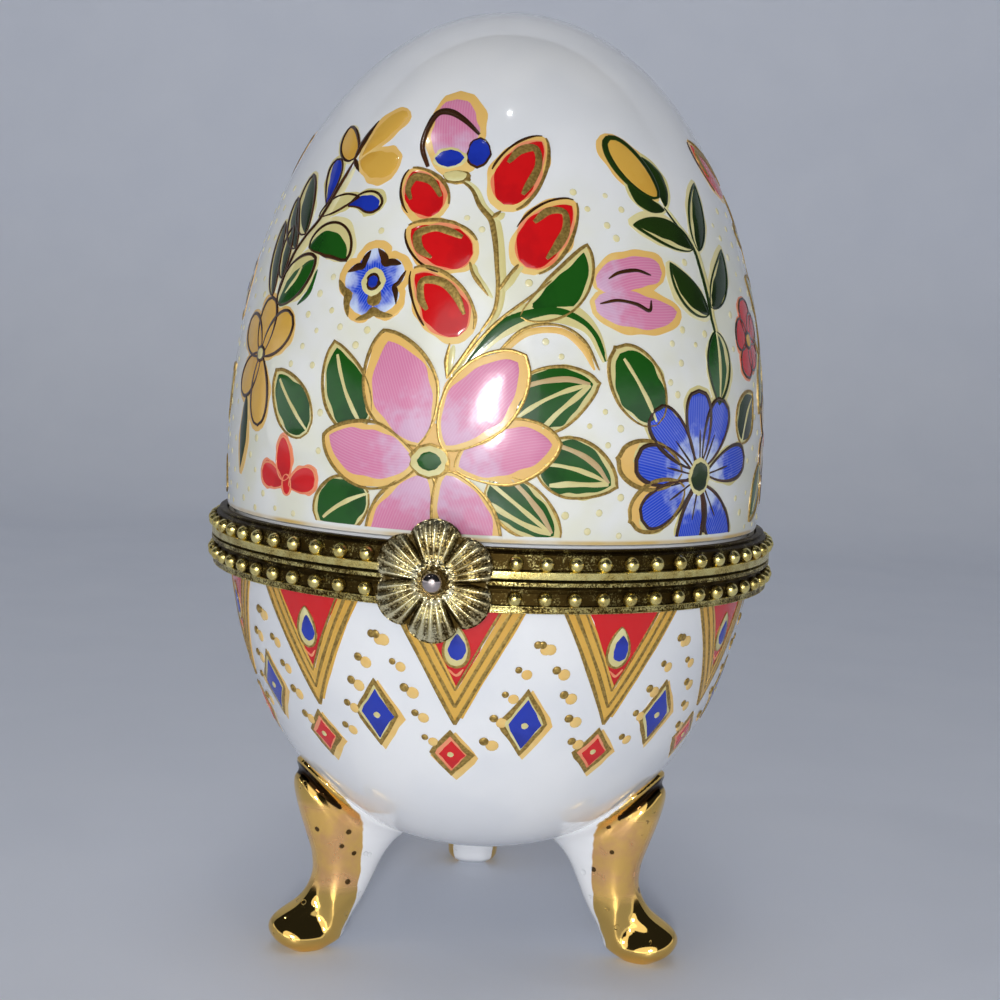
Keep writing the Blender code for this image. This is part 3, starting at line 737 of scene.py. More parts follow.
class Brush:
    """Draws motifs in azimuths and heights, with the whole drawing turned round the egg."""

    def __init__(self, enamels, turn=0.0):
        self.enamels = enamels
        self.turn = math.radians(turn)
        self.random = enamels.random

    def at(self, places):
        found = locate(places)
        found[..., 0] += self.turn
        return found

    def loose(self, path, reach):
        """A path moved a little, because each colour was laid on by a separate printing."""
        right, up = (self.random.uniform(-reach, reach) for _ in range(2))
        shifted = path.copy()
        shifted[:, 0] += right / egg_radius(path[:, 1])
        shifted[:, 1] += up
        return shifted

    def line(self, colour_name, places, width, taper=0.3, count=None, lift=None):
        """A stroke through places, thinner at its ends."""
        spots = self.at(places)
        count = count or 6 * len(spots)
        self.stroke(colour_name, curve_through(spots, count), width, taper, lift)

    def stroke(self, colour_name, path, width, taper=0.3, lift=None):
        share = np.linspace(0, 1, len(path))
        waver = 1 + 0.15 * np.sin(9 * share + self.random.uniform(0, 6))
        ends = 1 - (1 - taper) * np.abs(2 * share - 1) ** 4
        self.enamels.strip(colour_name, path, width / 2 * ends * waver, across=3, dome=0.08, lift=lift)

    def leaf(self, fill, base, tip, half, bow=0.0, fullness=(0.7, 0.9), halo=None, rim=None, veins=0,
             rows=26, spots=None, part=1.0, over=0.0):
        """A leaf or petal from base to tip. halo and rim are colours with widths in mm.

        A gilt rim runs outside the halo, and any other one along the fill. part below 1 fills only
        that share of the width, and leaves the ground colour showing on the left. over lifts the
        whole over what it covers.
        """
        base, tip = (self.at(base), self.at(tip)) if spots is None else spots
        path = bent(base, tip, bow, rows)
        share = np.linspace(0, 1, rows)
        halves = half * spindle(share, fullness)
        edge, reach = path, halves
        if halo:
            colour_name, width = halo
            ends = np.sin(np.pi * np.clip(share * 0.9 + 0.05, 0, 1)) ** 0.3
            spread = halves + width * ends * np.clip(0.3 + 1.6 * share, 0, 1)
            longer = bent(base + (base - tip) * 0.05, tip + (tip - base) * 0.07, bow, rows)
            stretch = self.loose(longer, width * 0.25)
            self.enamels.strip(colour_name, stretch, spread, across=5, dome=0.02, lift=GROUND_LIFT + over)
            if rim and rim[0] == "gilt_brown":
                edge, reach = stretch, spread
        if fill:
            if part < 1:
                self.enamels.strip("cream", path, halves, across=4, dome=0.02, lift=0.045)
            self.enamels.strip(fill, sideways(path, -halves * (1 - part)), halves * part, across=6,
                               lift=LIFTS.get(fill, FILL_LIFT) + over)
        if rim:
            colour_name, width = rim
            loose = self.loose(edge, 0.12)
            outlines = [sideways(loose, side * reach) for side in (-1, 1)]
            if loose[-1, 1] > self.enamels.foot:
                point = loose[-1:] + 0.6 * (loose[-1:] - loose[-2:-1])
                outlines = [np.concatenate([outlines[0], point, outlines[1][::-1]])]
            for outline in outlines:
                self.stroke(colour_name, outline, width, 0.5, LINE_LIFT + over)
        if veins:
            self.veins(path, halves, veins)

    def veins(self, path, halves, count):
        """A broad cream midrib, and others that run from the leaf's edge to its tip."""
        rows = len(path)
        self.stroke("cream", path[:int(rows * 0.94)], 0.55, 0.6)
        for number in range(count - 1):
            side = -1 if number % 2 else 1
            spots = [sideways(path, side * halves * ease)[int(rows * share)]
                     for ease, share in ((0.95, 0.16), (0.62, 0.45), (0.5, 0.7), (0.05, 0.93))]
            self.stroke("cream" if number % 2 else "biscuit", curve_through(np.stack(spots), 16), 0.62, 0.7)

    def round_petals(self, fill, centre, count, near, far, half, turn=0.0, middle=None, **looks):
        """Petals round a centre, from near to far mm away. turn is the first one's, in degrees."""
        heart = self.at(centre)
        for number in range(count):
            angle = math.radians(turn + 360 * number / count)
            toward = (math.sin(angle), math.cos(angle))
            ends = [moved(heart, toward[0] * reach, toward[1] * reach) for reach in (near, far)]
            self.leaf(fill, None, None, half, spots=ends, **looks)
        for colour_name, radius, lift in middle or ():
            self.disc(colour_name, heart, radius, lift)

    def bud(self, base, tip, half, bow):
        """A red bud: cream and salmon grounds, a red heart, and brown lines outside and inside."""
        path = bent(self.at(base), self.at(tip), bow, 30)
        share = np.linspace(0, 1, 30)
        shape = spindle(share, BUD_FULLNESS)
        ends = np.sin(np.pi * np.clip(share * 0.94 + 0.03, 0, 1)) ** 0.35
        longer = bent(path[0] * 1.09 - path[-1] * 0.09, path[-1] * 1.08 - path[0] * 0.08, bow, 30)
        self.enamels.strip("pale_ochre", longer, half * shape + 0.8 * ends, across=5, dome=0.02, lift=0.025)
        self.enamels.strip("salmon", self.loose(path, 0.1), half * shape + 0.33 * ends, across=5,
                           dome=0.02, lift=0.045)
        self.enamels.strip("red", path, half * shape, across=6, dome=0.08)
        outline = sideways(longer, -(half * shape + 0.62 * ends))
        self.stroke("gilt_brown", outline[2:], 0.42, 0.5)
        self.stroke("umber", sideways(longer, half * shape + 0.6 * ends)[11:], 0.3, 0.4, 0.1)
        near, far = sideways(path, -half * shape * 0.78), sideways(path, half * shape * 0.74)
        hook = np.stack([near[6], near[13], near[20], path[25], far[21], far[15]])
        self.stroke("gilt_brown", curve_through(hook, 26), 0.95, 0.4, 0.17)

    def disc(self, colour_name, heart, radius, lift=None, tall=1.0):
        ends = (moved(heart, 0, -radius * tall), moved(heart, 0, radius * tall))
        path = bent(*ends, 0, 12)
        halves = radius * spindle(np.linspace(0, 1, 12), (0.5, 0.5))
        self.enamels.strip(colour_name, path, halves, across=6, lift=lift)

    def lozenge(self, colour_name, heart, wide, tall, lift, slant=0.0):
        """A diamond with half sizes wide and tall in mm. slant moves its ends sideways."""
        path = bent(moved(heart, -slant, -tall), moved(heart, slant, tall), 0, 9)
        halves = wide * (1 - np.abs(np.linspace(-1, 1, 9)))
        self.enamels.strip(colour_name, path, halves, across=4, dome=0.03, lift=lift)


RIM = ("gilt_brown", 0.36)
HALO = ("pale_ochre", 0.75)
PETAL_HALO = ("pale_ochre", 0.95)
LEAF_EDGE = ("cream", 0.42)
BUD_FULLNESS = (0.5, 0.72)
# What lifts a petal over the rim of the leaf or petal under it
PETAL_STEP = 0.13
BROAD = (0.62, 0.5)


def paint_great_flower(brush):
    """The pink flower over the clasp, whose lower petals and leaves the band's margin cuts."""
    leaves = [((-16.6, 71.2), (-23.6, 79.9), 2.8, 0.5, (0.5, 0.78), 1),
              ((-15, 63.4), (-25, 59.8), 2.9, -0.4, (0.5, 0.5), 1),
              ((12.6, 73.2), (26.2, 77.2), 3.2, 0.6, (0.42, 0.74), 3),
              ((16.6, 68), (30.4, 65.8), 3.0, 0.6, (0.48, 0.74), 3),
              ((8.2, 65.6), (20, 59.9), 2.4, 0, (0.5, 0.7), 3)]
    for base, tip, half, bow, fullness, count in leaves:
        brush.leaf("leaf_green", base, tip, half, bow, fullness, halo=LEAF_EDGE, rim=RIM, veins=count)
    heart = brush.at((-2.9, 67.7))
    brush.disc("pale_ochre", heart, 4.6, 0.024, 0.95)
    petals = [((-5.2, 69.7), (-12.4, 80.9), 3.5, 0, (0.74, 0.8)),
              ((0, 69.6), (12, 79.2), 3.1, 0.5, (0.7, 0.68)),
              ((2.4, 67.3), (18.8, 70.2), 2.7, 0.5, (0.75, 0.74)),
              ((0.2, 66.2), (7, 55.4), 2.7, 0.4, (0.64, 0.6)),
              ((-3.8, 66.2), (-10.4, 55.4), 3.3, -0.2, (0.8, 0.6)),
              ((-6, 67.8), (-23.2, 69.8), 2.85, 0.7, (0.75, 0.8))]
    # Every other petal lies over its two neighbours
    for number, (base, tip, half, bow, fullness) in enumerate(petals):
        brush.leaf("pink", base, tip, half, bow, fullness, halo=PETAL_HALO, rim=RIM, rows=32,
                   over=PETAL_STEP * (1 + number % 2))
    discs = (("gilt_brown", 2.4, 0.1), ("cream", 2.05, 0.16), ("leaf_green", 1.3, 0.21))
    for colour_name, radius, lift in discs:
        brush.disc(colour_name, heart, radius, lift + 2 * PETAL_STEP, tall=0.85)


def paint_bud_branch(brush):
    """The stem over the great flower, with five red buds, a pink top bud and a curled leaf."""
    stem = [(-3.1, 100), (0.8, 98.7), (3, 96.7), (5.5, 95.2), (6.3, 93.9), (6.9, 92), (7.3, 90),
            (7.7, 87.4), (7.2, 84.8), (5, 82.5)]
    twigs = [[(5.5, 95.2), (7.5, 96.2)], [(7.7, 87), (9.8, 88.9), (11.5, 90.2)],
             [(6, 86.5), (3, 88.7), (2, 90.2)], [(5, 82.5), (2, 79.6), (-0.7, 77)],
             [(-0.6, 81), (-1, 79), (-0.7, 77)]]
    brush.line("cream", [(azimuth + 0.9, height) for azimuth, height in stem], 0.9, lift=0.05)
    brush.line("gilt_brown", stem, 0.6)
    for twig in twigs:
        brush.line("cream", [(azimuth + 0.8, height - 0.2) for azimuth, height in twig], 0.7, lift=0.05)
        brush.line("gilt_brown", twig, 0.42)
    buds = [((-5.6, 95.8), (-13.2, 100.6), 2.1, 0.3), ((2.4, 91.2), (-10.8, 93.8), 2.4, 0.5),
            ((0.8, 81.8), (-8.6, 88.6), 2.4, -0.6), ((8, 97), (16.2, 104.7), 2.3, 0.5),
            ((13, 90), (22.5, 97.3), 2.45, 0.6)]
    for base, tip, half, bow in buds:
        brush.bud(base, tip, half, bow)
    brush.leaf("pale_ochre", (-2.4, 99.9), (-6, 110.8), 3.5, 0.2, fullness=(0.42, 0.42), rows=20)
    brush.leaf("pink", (-3.2, 101.8), (-6.2, 109.7), 2.75, 0.2, fullness=(0.4, 0.4))
    brush.line("umber", [(-9.8, 101.2), (-12.4, 103.8), (-11.9, 106.4), (-10.2, 107.9), (-6.8, 107.9),
                         (-2.8, 106.9), (1.2, 105.2)], 0.8, 0.5, 30, 0.16)
    brush.disc("cream", brush.at((-4.9, 102.3)), 2.05, 0.1, 0.72)
    for place, radius, tall in (((-5, 102.2), 1.6, 0.72), ((1.6, 103), 1.2, 1.5)):
        brush.disc("umber", brush.at(place), radius + 0.2, 0.1 if tall > 1 else 0.05, tall)
        brush.disc("navy", brush.at(place), radius, 0.16, tall)
    brush.disc("gilt_brown", brush.at((-2.6, 100)), 1.7, 0.06, 0.55)
    brush.disc("cream", brush.at((-3, 100.1)), 1.35, 0.15, 0.5)
    sweep = [(1.6, 77.6), (5, 80.6), (9, 83), (14, 84.7), (19, 85.2), (23.5, 84.4), (26.5, 82.8),
             (28.6, 79.8)]
    brush.line("cream", sweep, 2.3, lift=0.05)
    brush.line("leaf_green", sweep, 1.5, 0.3)
    brush.leaf("leaf_green", (13, 84.6), (24.6, 92), 1.8, -1.5, fullness=(0.7, 0.8),
               halo=("cream", 0.5), rim=RIM)
    brush.line("gilt_brown", [(2, 79.2), (5.5, 82), (9, 84.2), (13.5, 86.4), (18, 88.6)], 0.36)
    brush.line("pale_ochre", [(8, 79.4), (13, 82.4), (19.5, 83), (24, 81.4), (26.5, 78.8)], 0.8)
    brush.line("gilt_brown", [(7.6, 79.8), (13, 83), (19.5, 83.6), (24.4, 82), (27.4, 78.8)], 0.36)


def paint_small_blue_flower(brush, centre, size=1.0):
    """Five petals printed paler towards their tips, with dark notches between them."""
    brush.round_petals("pale_ochre", centre, 5, 0.6 * size, 5.1 * size, 2.4 * size, -8, fullness=BROAD)
    brush.round_petals("straw", centre, 5, 0.6 * size, 4.3 * size, 1.9 * size, -8, fullness=BROAD)
    brush.round_petals("cobalt_blue", centre, 5, 4.1 * size, 0.2 * size, 1.8 * size, -8,
                       fullness=(0.42, 0.5))
    heart = brush.at(centre)
    bend = ((-30, 4.0), (-12, 3.1), (0, 2.6), (12, 3.1), (28, 3.9))
    notches = (("umber", 0.0, 1.0), ("umber", 0.2, 0.6), ("gilt_brown", 0.9, 0.9), ("gilt_brown", 1.0, 1.0),
               ("umber", 0.0, 0.9))
    for number, (ink, out, width) in enumerate(notches):
        spots = []
        for swing, reach in bend:
            angle = math.radians(28 + 72 * number + swing)
            away = (reach + out) * size
            spots.append(moved(heart, math.sin(angle) * away, math.cos(angle) * away))
        brush.stroke(ink, curve_through(np.stack(spots), 18), width * size, 0.15)
    brush.disc("gilt_brown", moved(heart, 0.4 * size, -1.6 * size), 1.25 * size, 0.1)
    for colour_name, radius, lift in (("cream", 1.5, 0.17), ("umber", 1.0, 0.2), ("navy", 0.62, 0.26)):
        brush.disc(colour_name, heart, radius * size, lift, 1.15)


def paint_red_trefoil(brush, foot):
    """The small red flower with one upright and two side petals."""
    azimuth, height = foot
    petals = [((-0.5, 0.9), (-1.3, 6.2), 1.45, 0.0, (0.5, 0.62)),
              ((-1, 0.4), (-8.2, 1.7), 1.5, -0.2, (0.7, 0.42)),
              ((1, 0.4), (8.2, 1.5), 1.55, 0.2, (0.7, 0.42)),
              ((0, 1.7), (0.2, -0.8), 0.8, 0.0, (0.5, 0.5))]
    for (left, up), (left_tip, up_tip), half, bow, fullness in petals:
        brush.leaf("red", (azimuth + left, height + up), (azimuth + left_tip, height + up_tip), half, bow,
                   fullness=fullness, halo=("salmon", 0.3), rim=("salmon", 0.24))


def paint_ochre_spray(brush):
    """The ochre flower on the left, with its leaves, blossom, bud and blue leaves over it."""
    for tip in ((-46.4, 85.8), (-37.4, 83.4), (-45.4, 70), (-56, 83), (-55.4, 74)):
        brush.leaf("yellow_ochre", (-47, 78.6), tip, 2.2, fullness=(0.75, 0.5), halo=HALO,
                   rim=("umber", 0.4))
    for colour_name, radius, lift in (("umber", 1.1, 0.17), ("cream", 0.7, 0.22)):
        brush.disc(colour_name, brush.at((-47, 78.8)), radius, lift)
    brush.leaf("leaf_green", (-29.4, 70.2), (-39, 76.4), 2.6, 0.2, (0.5, 0.72), LEAF_EDGE, RIM, 1)
    brush.leaf("dark_green", (-52, 73.6), (-53.4, 64.4), 1.1, 0.3, halo=HALO)
    stem = [(-30.9, 102.1), (-32.3, 99.8), (-35.5, 95.5), (-39.5, 92.9), (-42.3, 90.4), (-44.7, 85.1)]
    brush.line("straw", [(azimuth + 1.2, height - 0.5) for azimuth, height in stem], 1.3, lift=0.02)
    leaves = [("dark_green", (-46.8, 85.8), (-50.8, 95), 1.25, 0.4),
              ("dark_green", (-44.4, 88), (-45.4, 94.4), 1.1, 0.3),
              ("dark_green", (-41.6, 91.6), (-48.4, 98), 1.3, 0.6),
              ("dark_green", (-39.6, 93.4), (-45.2, 101), 1.75, 0.5),
              ("leaf_green", (-43.6, 84.9), (-33.6, 90.3), 2.3, 0.3),
              ("leaf_green", (-36.8, 91.8), (-25, 90.2), 2.1, 1.8)]
    for colour_name, base, tip, half, bow in leaves:
        brush.leaf(colour_name, base, tip, half, bow, (0.6, 0.62), halo=("straw", 0.55),
                   rim=("umber", 0.4), part=0.72)
    brush.line("cream", [(-41.4, 86.2), (-38.6, 88), (-37.4, 89.4)], 0.4, lift=0.17)
    brush.line("leaf_green", [(-36.4, 84.8), (-33.6, 86.4), (-32.4, 89)], 0.6, 0.2)
    brush.line("umber", stem, 0.5)
    brush.leaf(None, (-36.2, 95.5), (-25.4, 97.6), 1.0, 0.5, halo=("cream", 0.4), rim=("umber", 0.28))
    blue_leaves = [((-35.2, 96.9), (-37.4, 102.6), 1.25, -0.3), ((-28, 96.6), (-19.6, 96.2), 1.3, 0.9)]
    for base, tip, half, bow in blue_leaves:
        brush.leaf("navy", base, tip, half, bow, (0.95, 0.45), halo=("cream", 0.5),
                   rim=("umber", 0.3), part=0.8)
    brush.leaf("yellow_ochre", (-28.8, 102.8), (-20, 108.2), 1.3, 0.3, fullness=(0.8, 0.4), halo=HALO)
    brush.leaf("yellow_ochre", (-28.8, 102.2), (-17.8, 101.2), 1.8, 0, fullness=(0.6, 0.35), halo=HALO)
    brush.leaf("yellow_ochre", (-31, 102.4), (-38, 106.7), 1.4, 0.3, (0.5, 0.6), ("straw", 0.4),
               ("umber", 0.42))
    brush.leaf("umber", (-30.9, 102.1), (-28, 107.2), 0.4, 0.3)
    brush.leaf("umber", (-31.2, 102.6), (-28, 100.8), 0.3)


def part_way(start, end, share):
    return tuple(first + (last - first) * share for first, last in zip(start, end))


def paint_blue_daisy(brush):
    """The daisy on the right, its petals printed from white to blue, with a leaf over it."""
    middle = (51, 66.8)
    for tip in ((32.6, 68.9), (35.6, 61.9)):
        brush.leaf(None, part_way(middle, tip, 0.3), tip, 2.4, fullness=BROAD, halo=("pale_ochre", 0.4),
                   rim=("gilt_brown", 0.5))
    petals = [((50.5, 76.9), 2.2), ((58.7, 75.8), 2.2), ((67.4, 68.9), 2.1), ((61, 58), 2.4),
              ((48.6, 57.4), 2.1), ((37.2, 61.8), 2.2), ((35.2, 68.8), 2.3), ((38.8, 74.4), 2.3)]
    for tip, half in petals:
        start = part_way(middle, tip, 0.12)
        brush.leaf("cobalt_blue", start, tip, half, fullness=(0.8, 0.4), halo=("cream", 0.4),
                   rim=("umber", 0.45))
        brush.line("umber", [start, part_way(middle, tip, 0.55)], 0.24, lift=0.17)
    brush.line("umber", [(52.2, 65), (53.2, 62.6), (53.6, 60)], 0.9, lift=0.17)
    for colour_name, radius, lift in (("cream", 1.85, 0.18), ("dark_green", 1.45, 0.22)):
        brush.disc(colour_name, brush.at(middle), radius, lift, 1.25)
    brush.leaf("leaf_green", (39.6, 73.2), (31.6, 80.8), 3.0, -0.3, (0.5, 0.55), LEAF_EDGE, RIM, 1)
    brush.leaf("dark_green", (66.4, 71), (72.5, 76.5), 2.4, 0.5, halo=LEAF_EDGE, rim=RIM, veins=1)


def paint_right_vine(brush):
    """The vine over the daisy, with a yellow bud, and the pink bud beside it."""
    brush.leaf("pink", (27.2, 88.2), (42.4, 90.4), 2.0, 0.8, fullness=(0.45, 0.42), halo=HALO)
    brush.leaf("pink", (26.6, 86.6), (45.4, 86), 2.1, -0.6, fullness=(0.45, 0.6), halo=HALO)
    brush.line("umber", [(29.6, 89.2), (32, 90), (36, 90.4), (39.4, 90)], 0.42, lift=0.2)
    brush.line("umber", [(27.6, 86.3), (31.5, 86.8), (35.6, 86.5), (38.4, 85.9), (39, 87.1)], 0.42,
               lift=0.2)
    vine = [(46, 98.3), (49.5, 96), (53, 94), (54.5, 91.2), (55.5, 88.3), (56, 85.8), (56.8, 83.5),
            (56.4, 79)]
    brush.line("cream", [(azimuth + 0.8, height) for azimuth, height in vine], 0.8, lift=0.05)
    brush.line("dark_green", vine, 0.55)
    leaves = [((52.5, 93.7), (36.6, 95.8), 1.6, -0.7), ((54.8, 93.6), (60.2, 102), 1.5, 0.2),
              ((55, 86), (45, 91.6), 1.7, 0.6), ((56, 87), (64.4, 94.2), 1.7, -0.6),
              ((57, 84.2), (57, 75.6), 2.4, 0.4)]
    for base, tip, half, bow in leaves:
        brush.leaf("dark_green" if half < 2 else "leaf_green", base, tip, half, bow, halo=("straw", 0.6),
                   rim=("dark_green", 0.34), veins=int(half > 2), part=0.8)
    brush.leaf("yellow_ochre", (44.6, 99.4), (33.6, 106), 2.1, 0.3, fullness=(0.6, 0.5), halo=HALO,
               rim=("dark_green", 0.7))
    brush.leaf("dark_green", (46.4, 98.4), (42.6, 104.2), 1.0, -0.9, halo=("cream", 0.3))
    brush.leaf("dark_green", (46, 98), (36.6, 101.2), 1.0, 1.0, halo=("cream", 0.3))


def paint_side_spray(brush):
    """The red flower between the front and the back, with leaves, a blue flower and a top bud."""
    for tip in ((72, 88.6), (78.2, 86), (77, 80.4), (69.4, 78.8), (65.8, 84.4)):
        brush.leaf("red", (72, 83.4), tip, 2.0, fullness=(0.75, 0.45), halo=("salmon", 0.4),
                   rim=("umber", 0.28))
    for colour_name, radius, lift in (("umber", 1.2, 0.17), ("yellow_ochre", 0.8, 0.22)):
        brush.disc(colour_name, brush.at((72, 83.4)), radius, lift)
    stem = [(77, 84), (83, 82), (88, 84), (92, 89), (92, 94), (88, 99), (82, 102)]
    brush.line("cream", [(azimuth + 0.8, height) for azimuth, height in stem], 0.5, lift=0.05)
    brush.line("gilt_brown", stem, 0.5)
    for base, tip, half, bow in (((91, 87), (80, 91), 1.7, -0.6), ((92, 90), (103, 94.5), 1.8, 0.6),
                                 ((92, 94), (99, 101), 1.6, -0.5), ((84, 82), (79, 75), 1.9, 0.5),
                                 ((88, 84), (99, 82.5), 1.9, 0.7), ((90.5, 96.5), (82, 97), 1.2, -0.4)):
        brush.leaf("leaf_green", base, tip, half, bow, halo=LEAF_EDGE, rim=RIM, veins=1)
    brush.bud((81, 102.2), (68, 107.4), 2.1, 0.4)
    brush.leaf("yellow_ochre", (99.5, 101.5), (110, 107.5), 2.0, 0.4, fullness=(0.6, 0.5), halo=HALO,
               rim=("umber", 0.32))
    paint_small_blue_flower(brush, (107, 87.5))
    brush.round_petals("yellow_ochre", (93, 70.5), 6, 1.1, 8.6, 2.3, 10, fullness=(0.75, 0.42), halo=HALO,
                       rim=("umber", 0.3), middle=(("umber", 1.6, 0.18), ("red", 1.1, 0.24)))
    brush.leaf("leaf_green", (80, 67.5), (74.5, 61.2), 1.9, 0.4, halo=LEAF_EDGE, rim=RIM, veins=1)
    brush.leaf("leaf_green", (106, 70), (114, 76.5), 2.2, 0.6, halo=LEAF_EDGE, rim=RIM, veins=2)
    brush.leaf("leaf_green", (104, 64.5), (112, 61.4), 1.8, -0.4, halo=LEAF_EDGE, rim=RIM, veins=1)


def paint_lid(enamels):
    """The same garden on the front and, half a turn round, on the back, joined by side sprays."""
    for turn in (0, 180):
        brush = Brush(enamels, turn)
        for paint in (paint_great_flower, paint_bud_branch, paint_ochre_spray, paint_blue_daisy,
                      paint_right_vine, paint_side_spray):
            paint(brush)
        paint_small_blue_flower(brush, (-17.3, 87.6))
        paint_red_trefoil(brush, (-34.5, 63))


# The bowl's border of points, that hangs from the band
POINTS_ROUND = 11
FIRST_POINT = 3.0
POINT_TOP = BASE_BAND_FOOT + 0.9
POINT_FOOT = 36.6
# How far to the right of its lines the ochre was printed
OCHRE_SLIP = 0.35
# The diamonds' layers: colour, place to the right and up, half width, half height and lift
RED_DIAMOND = (("pale_ochre", 0.6, -0.5, 3.0, 3.7, 0.015), ("gilt_brown", 0, 0, 2.8, 3.5, 0.075),
               ("salmon", 0, 0, 2.0, 2.6, 0.115), ("red", 0.15, -0.1, 1.6, 2.1, 0.15))
BLUE_DIAMOND = (("pale_ochre", 0.5, -0.4, 3.3, 4.9, 0.015), ("gilt_brown", 0, 0, 3.1, 4.7, 0.075),
                ("cream", 0, 0, 2.35, 3.8, 0.115), ("navy", 0.1, -0.1, 2.1, 3.4, 0.15))


def paint_bowl(enamels):
    """Eleven ochre points with red hearts, and red and blue diamonds and rows of dots between."""
    brush = Brush(enamels)
    pitch = 360 / POINTS_ROUND
    gold_dots, ochre_dots = [], []
    for number in range(POINTS_ROUND):
        azimuth = FIRST_POINT + pitch * number
        for side in (-1, 1):
            outer = brush.at([(azimuth + side * 13.3, POINT_TOP), (azimuth, POINT_FOOT)])
            inner = brush.at([(azimuth + side * 9.2, POINT_TOP), (azimuth, POINT_FOOT + 4.4)])
            for ease, half in ((0.24, 0.66), (0.76, 0.62)):
                bar = brush.loose(bent(*(outer * (1 - ease) + inner * ease), 0, 16), 0.1)
                bar[:, 0] += OCHRE_SLIP / egg_radius(bar[:, 1])
                brush.enamels.strip("yellow_ochre", bar, np.full(16, half), across=3, dome=0.05)
            for ease, width in ((0, 0.46), (0.52, 0.42), (1, 0.26)):
                brush.stroke("gilt_brown", bent(*(outer * (1 - ease) + inner * ease), 0, 16), width, 0.8)
        foot = bent(*brush.at([(azimuth, POINT_FOOT + 0.5), (azimuth, POINT_FOOT + 3.8)]), 0, 8)
        brush.enamels.strip("yellow_ochre", foot, np.linspace(0.1, 1.5, 8), across=4, dome=0.02)
        heart = brush.at([(azimuth, POINT_FOOT + 4.6), (azimuth + 0.2, POINT_TOP)])
        path = brush.loose(bent(*heart, 0, 10), 0.15)
        brush.enamels.strip("red", path, np.linspace(0.1, 5.7, 10), across=6, dome=0.02, lift=0.05)
        brush.leaf("cream", (azimuth, 49), (azimuth, 44), 1.5, fullness=(0.8, 0.5),
                   rim=("gilt_brown", 0.34))
        drop = bent(*brush.at([(azimuth + 0.3, 48), (azimuth + 0.3, 44.8)]), 0, 14)
        brush.enamels.strip("navy", drop, spindle(np.linspace(0, 1, 14), (0.8, 0.5)), across=4, lift=0.2)
        curl = [(azimuth - 1.4, 43.6), (azimuth + 0.2, 42.9), (azimuth + 1.6, 43.7)]
        brush.line("salmon", curl, 0.3, lift=0.12)
        heart = brush.loose(brush.at([(azimuth - 0.6, 32.6)]), 0.4)[0]
        for colour_name, right, up, wide, tall, lift in RED_DIAMOND:
            brush.lozenge(colour_name, moved(heart, right, up), wide, tall, lift)
        brush.disc("cream", heart, 0.38, 0.2)
        heart = brush.loose(brush.at([(azimuth + pitch / 2 - 1.5, 37.2)]), 0.3)[0]
        for colour_name, right, up, wide, tall, lift in BLUE_DIAMOND:
            brush.lozenge(colour_name, moved(heart, right, up), wide, tall, lift, slant=0.1)
        brush.disc("cream", moved(heart, 0.1, -0.2), 0.42, 0.22)
        for share in np.linspace(0, 1, 5):
            for side in (-1, 1):
                across = side * (15.9 - 9.4 * share ** 0.75) - 0.2
                height = 47 - 12.5 * share
                gold_dots.append(brush.at((azimuth + across, height)))
                ochre_dots.append(moved(gold_dots[-1], 1.0, -0.6))
    return gold_dots, ochre_dots


def set_dots(name, places, lift, material, body, **sizes):
    points = [on_egg(azimuth, arc, lift) for azimuth, arc in places]
    facings = [(math.sin(azimuth) * np.interp(arc, EGG_ARC, EGG_OUT),
                -math.cos(azimuth) * np.interp(arc, EGG_ARC, EGG_OUT), np.interp(arc, EGG_ARC, EGG_UP))
               for azimuth, arc in places]
    made = studs(name, points, facings, material, body, "glazed_porcelain", **sizes)
    store(made.data, "shade", np.full(len(made.data.vertices), 0.3))
    store(made.data, "across", np.zeros(len(made.data.vertices)))


def scatter_places(enamels, low, high, pitch, clear):
    """Staggered rows of places between two heights, left out within clear mm of a motif."""
    painted = enamels.all_points()
    tree = kdtree.KDTree(len(painted))
    for number, point in enumerate(painted):
        tree.insert(point, number)
    tree.balance()
    chance = random.Random(5)
    places = []
    arcs = np.interp([low, high], EGG_HEIGHT, EGG_ARC)
    for row, arc in enumerate(np.arange(arcs[0], arcs[1], pitch * 0.62)):
        count = int(2 * math.pi * egg_radius(arc) / (pitch * 1.25))
        for number in range(count):
            azimuth = 2 * math.pi * (number + 0.5 * (row % 2)) / count
            place = moved((azimuth, arc), chance.uniform(-0.45, 0.45), chance.uniform(-0.45, 0.45))
            if tree.find(on_egg(place[0], place[1], 0.05))[2] > clear:
                places.append(place)
    return places


def make_enamels():
    materials = {name: (gilt_paste if name == "gilt_brown" else overglaze_enamel)(name, *pair)
                 for name, pair in ENAMELS.items()}
    lid = Enamels("lid", float(locate((0, MARGIN))[1]))
    paint_lid(lid)
    dots = scatter_places(lid, MARGIN + 0.6, 101, 3.2, 0.75)
    set_dots("lid_ground_dots", dots, 0.02, materials["straw"], "lid", Width=0.95 * MM,
             Height=0.12 * MM, Variation=0.3, Segments=9, Rings=6)
    lid.make(materials)
    bowl = Enamels("base")
    gold_dots, ochre_dots = paint_bowl(bowl)
    set_dots("bowl_gilt_dots", gold_dots, 0.06, materials["gilt_brown"], "base", Width=1.2 * MM,
             Height=0.4 * MM, Variation=0.3, Segments=12, Rings=8)
    set_dots("bowl_ochre_dots", ochre_dots, 0.02, materials["pale_ochre"], "base", Width=1.6 * MM,
             Height=0.24 * MM, Variation=0.2, Segments=12, Rings=8)
    bowl.make(materials)


# The clasp, as the CAD model has it
FLOWER_CENTRE = (corner("clasp_flower", 0, 2) + corner("clasp_flower", 1, 2)) / 2
FLOWER_FRONT = corner("clasp_flower", 0, 1)
FLOWER_BACK = corner("clasp_flower", 1, 1)
FLOWER_RADIUS = 7.0
NOTCH_RADIUS = 5.8
PETALS = 6
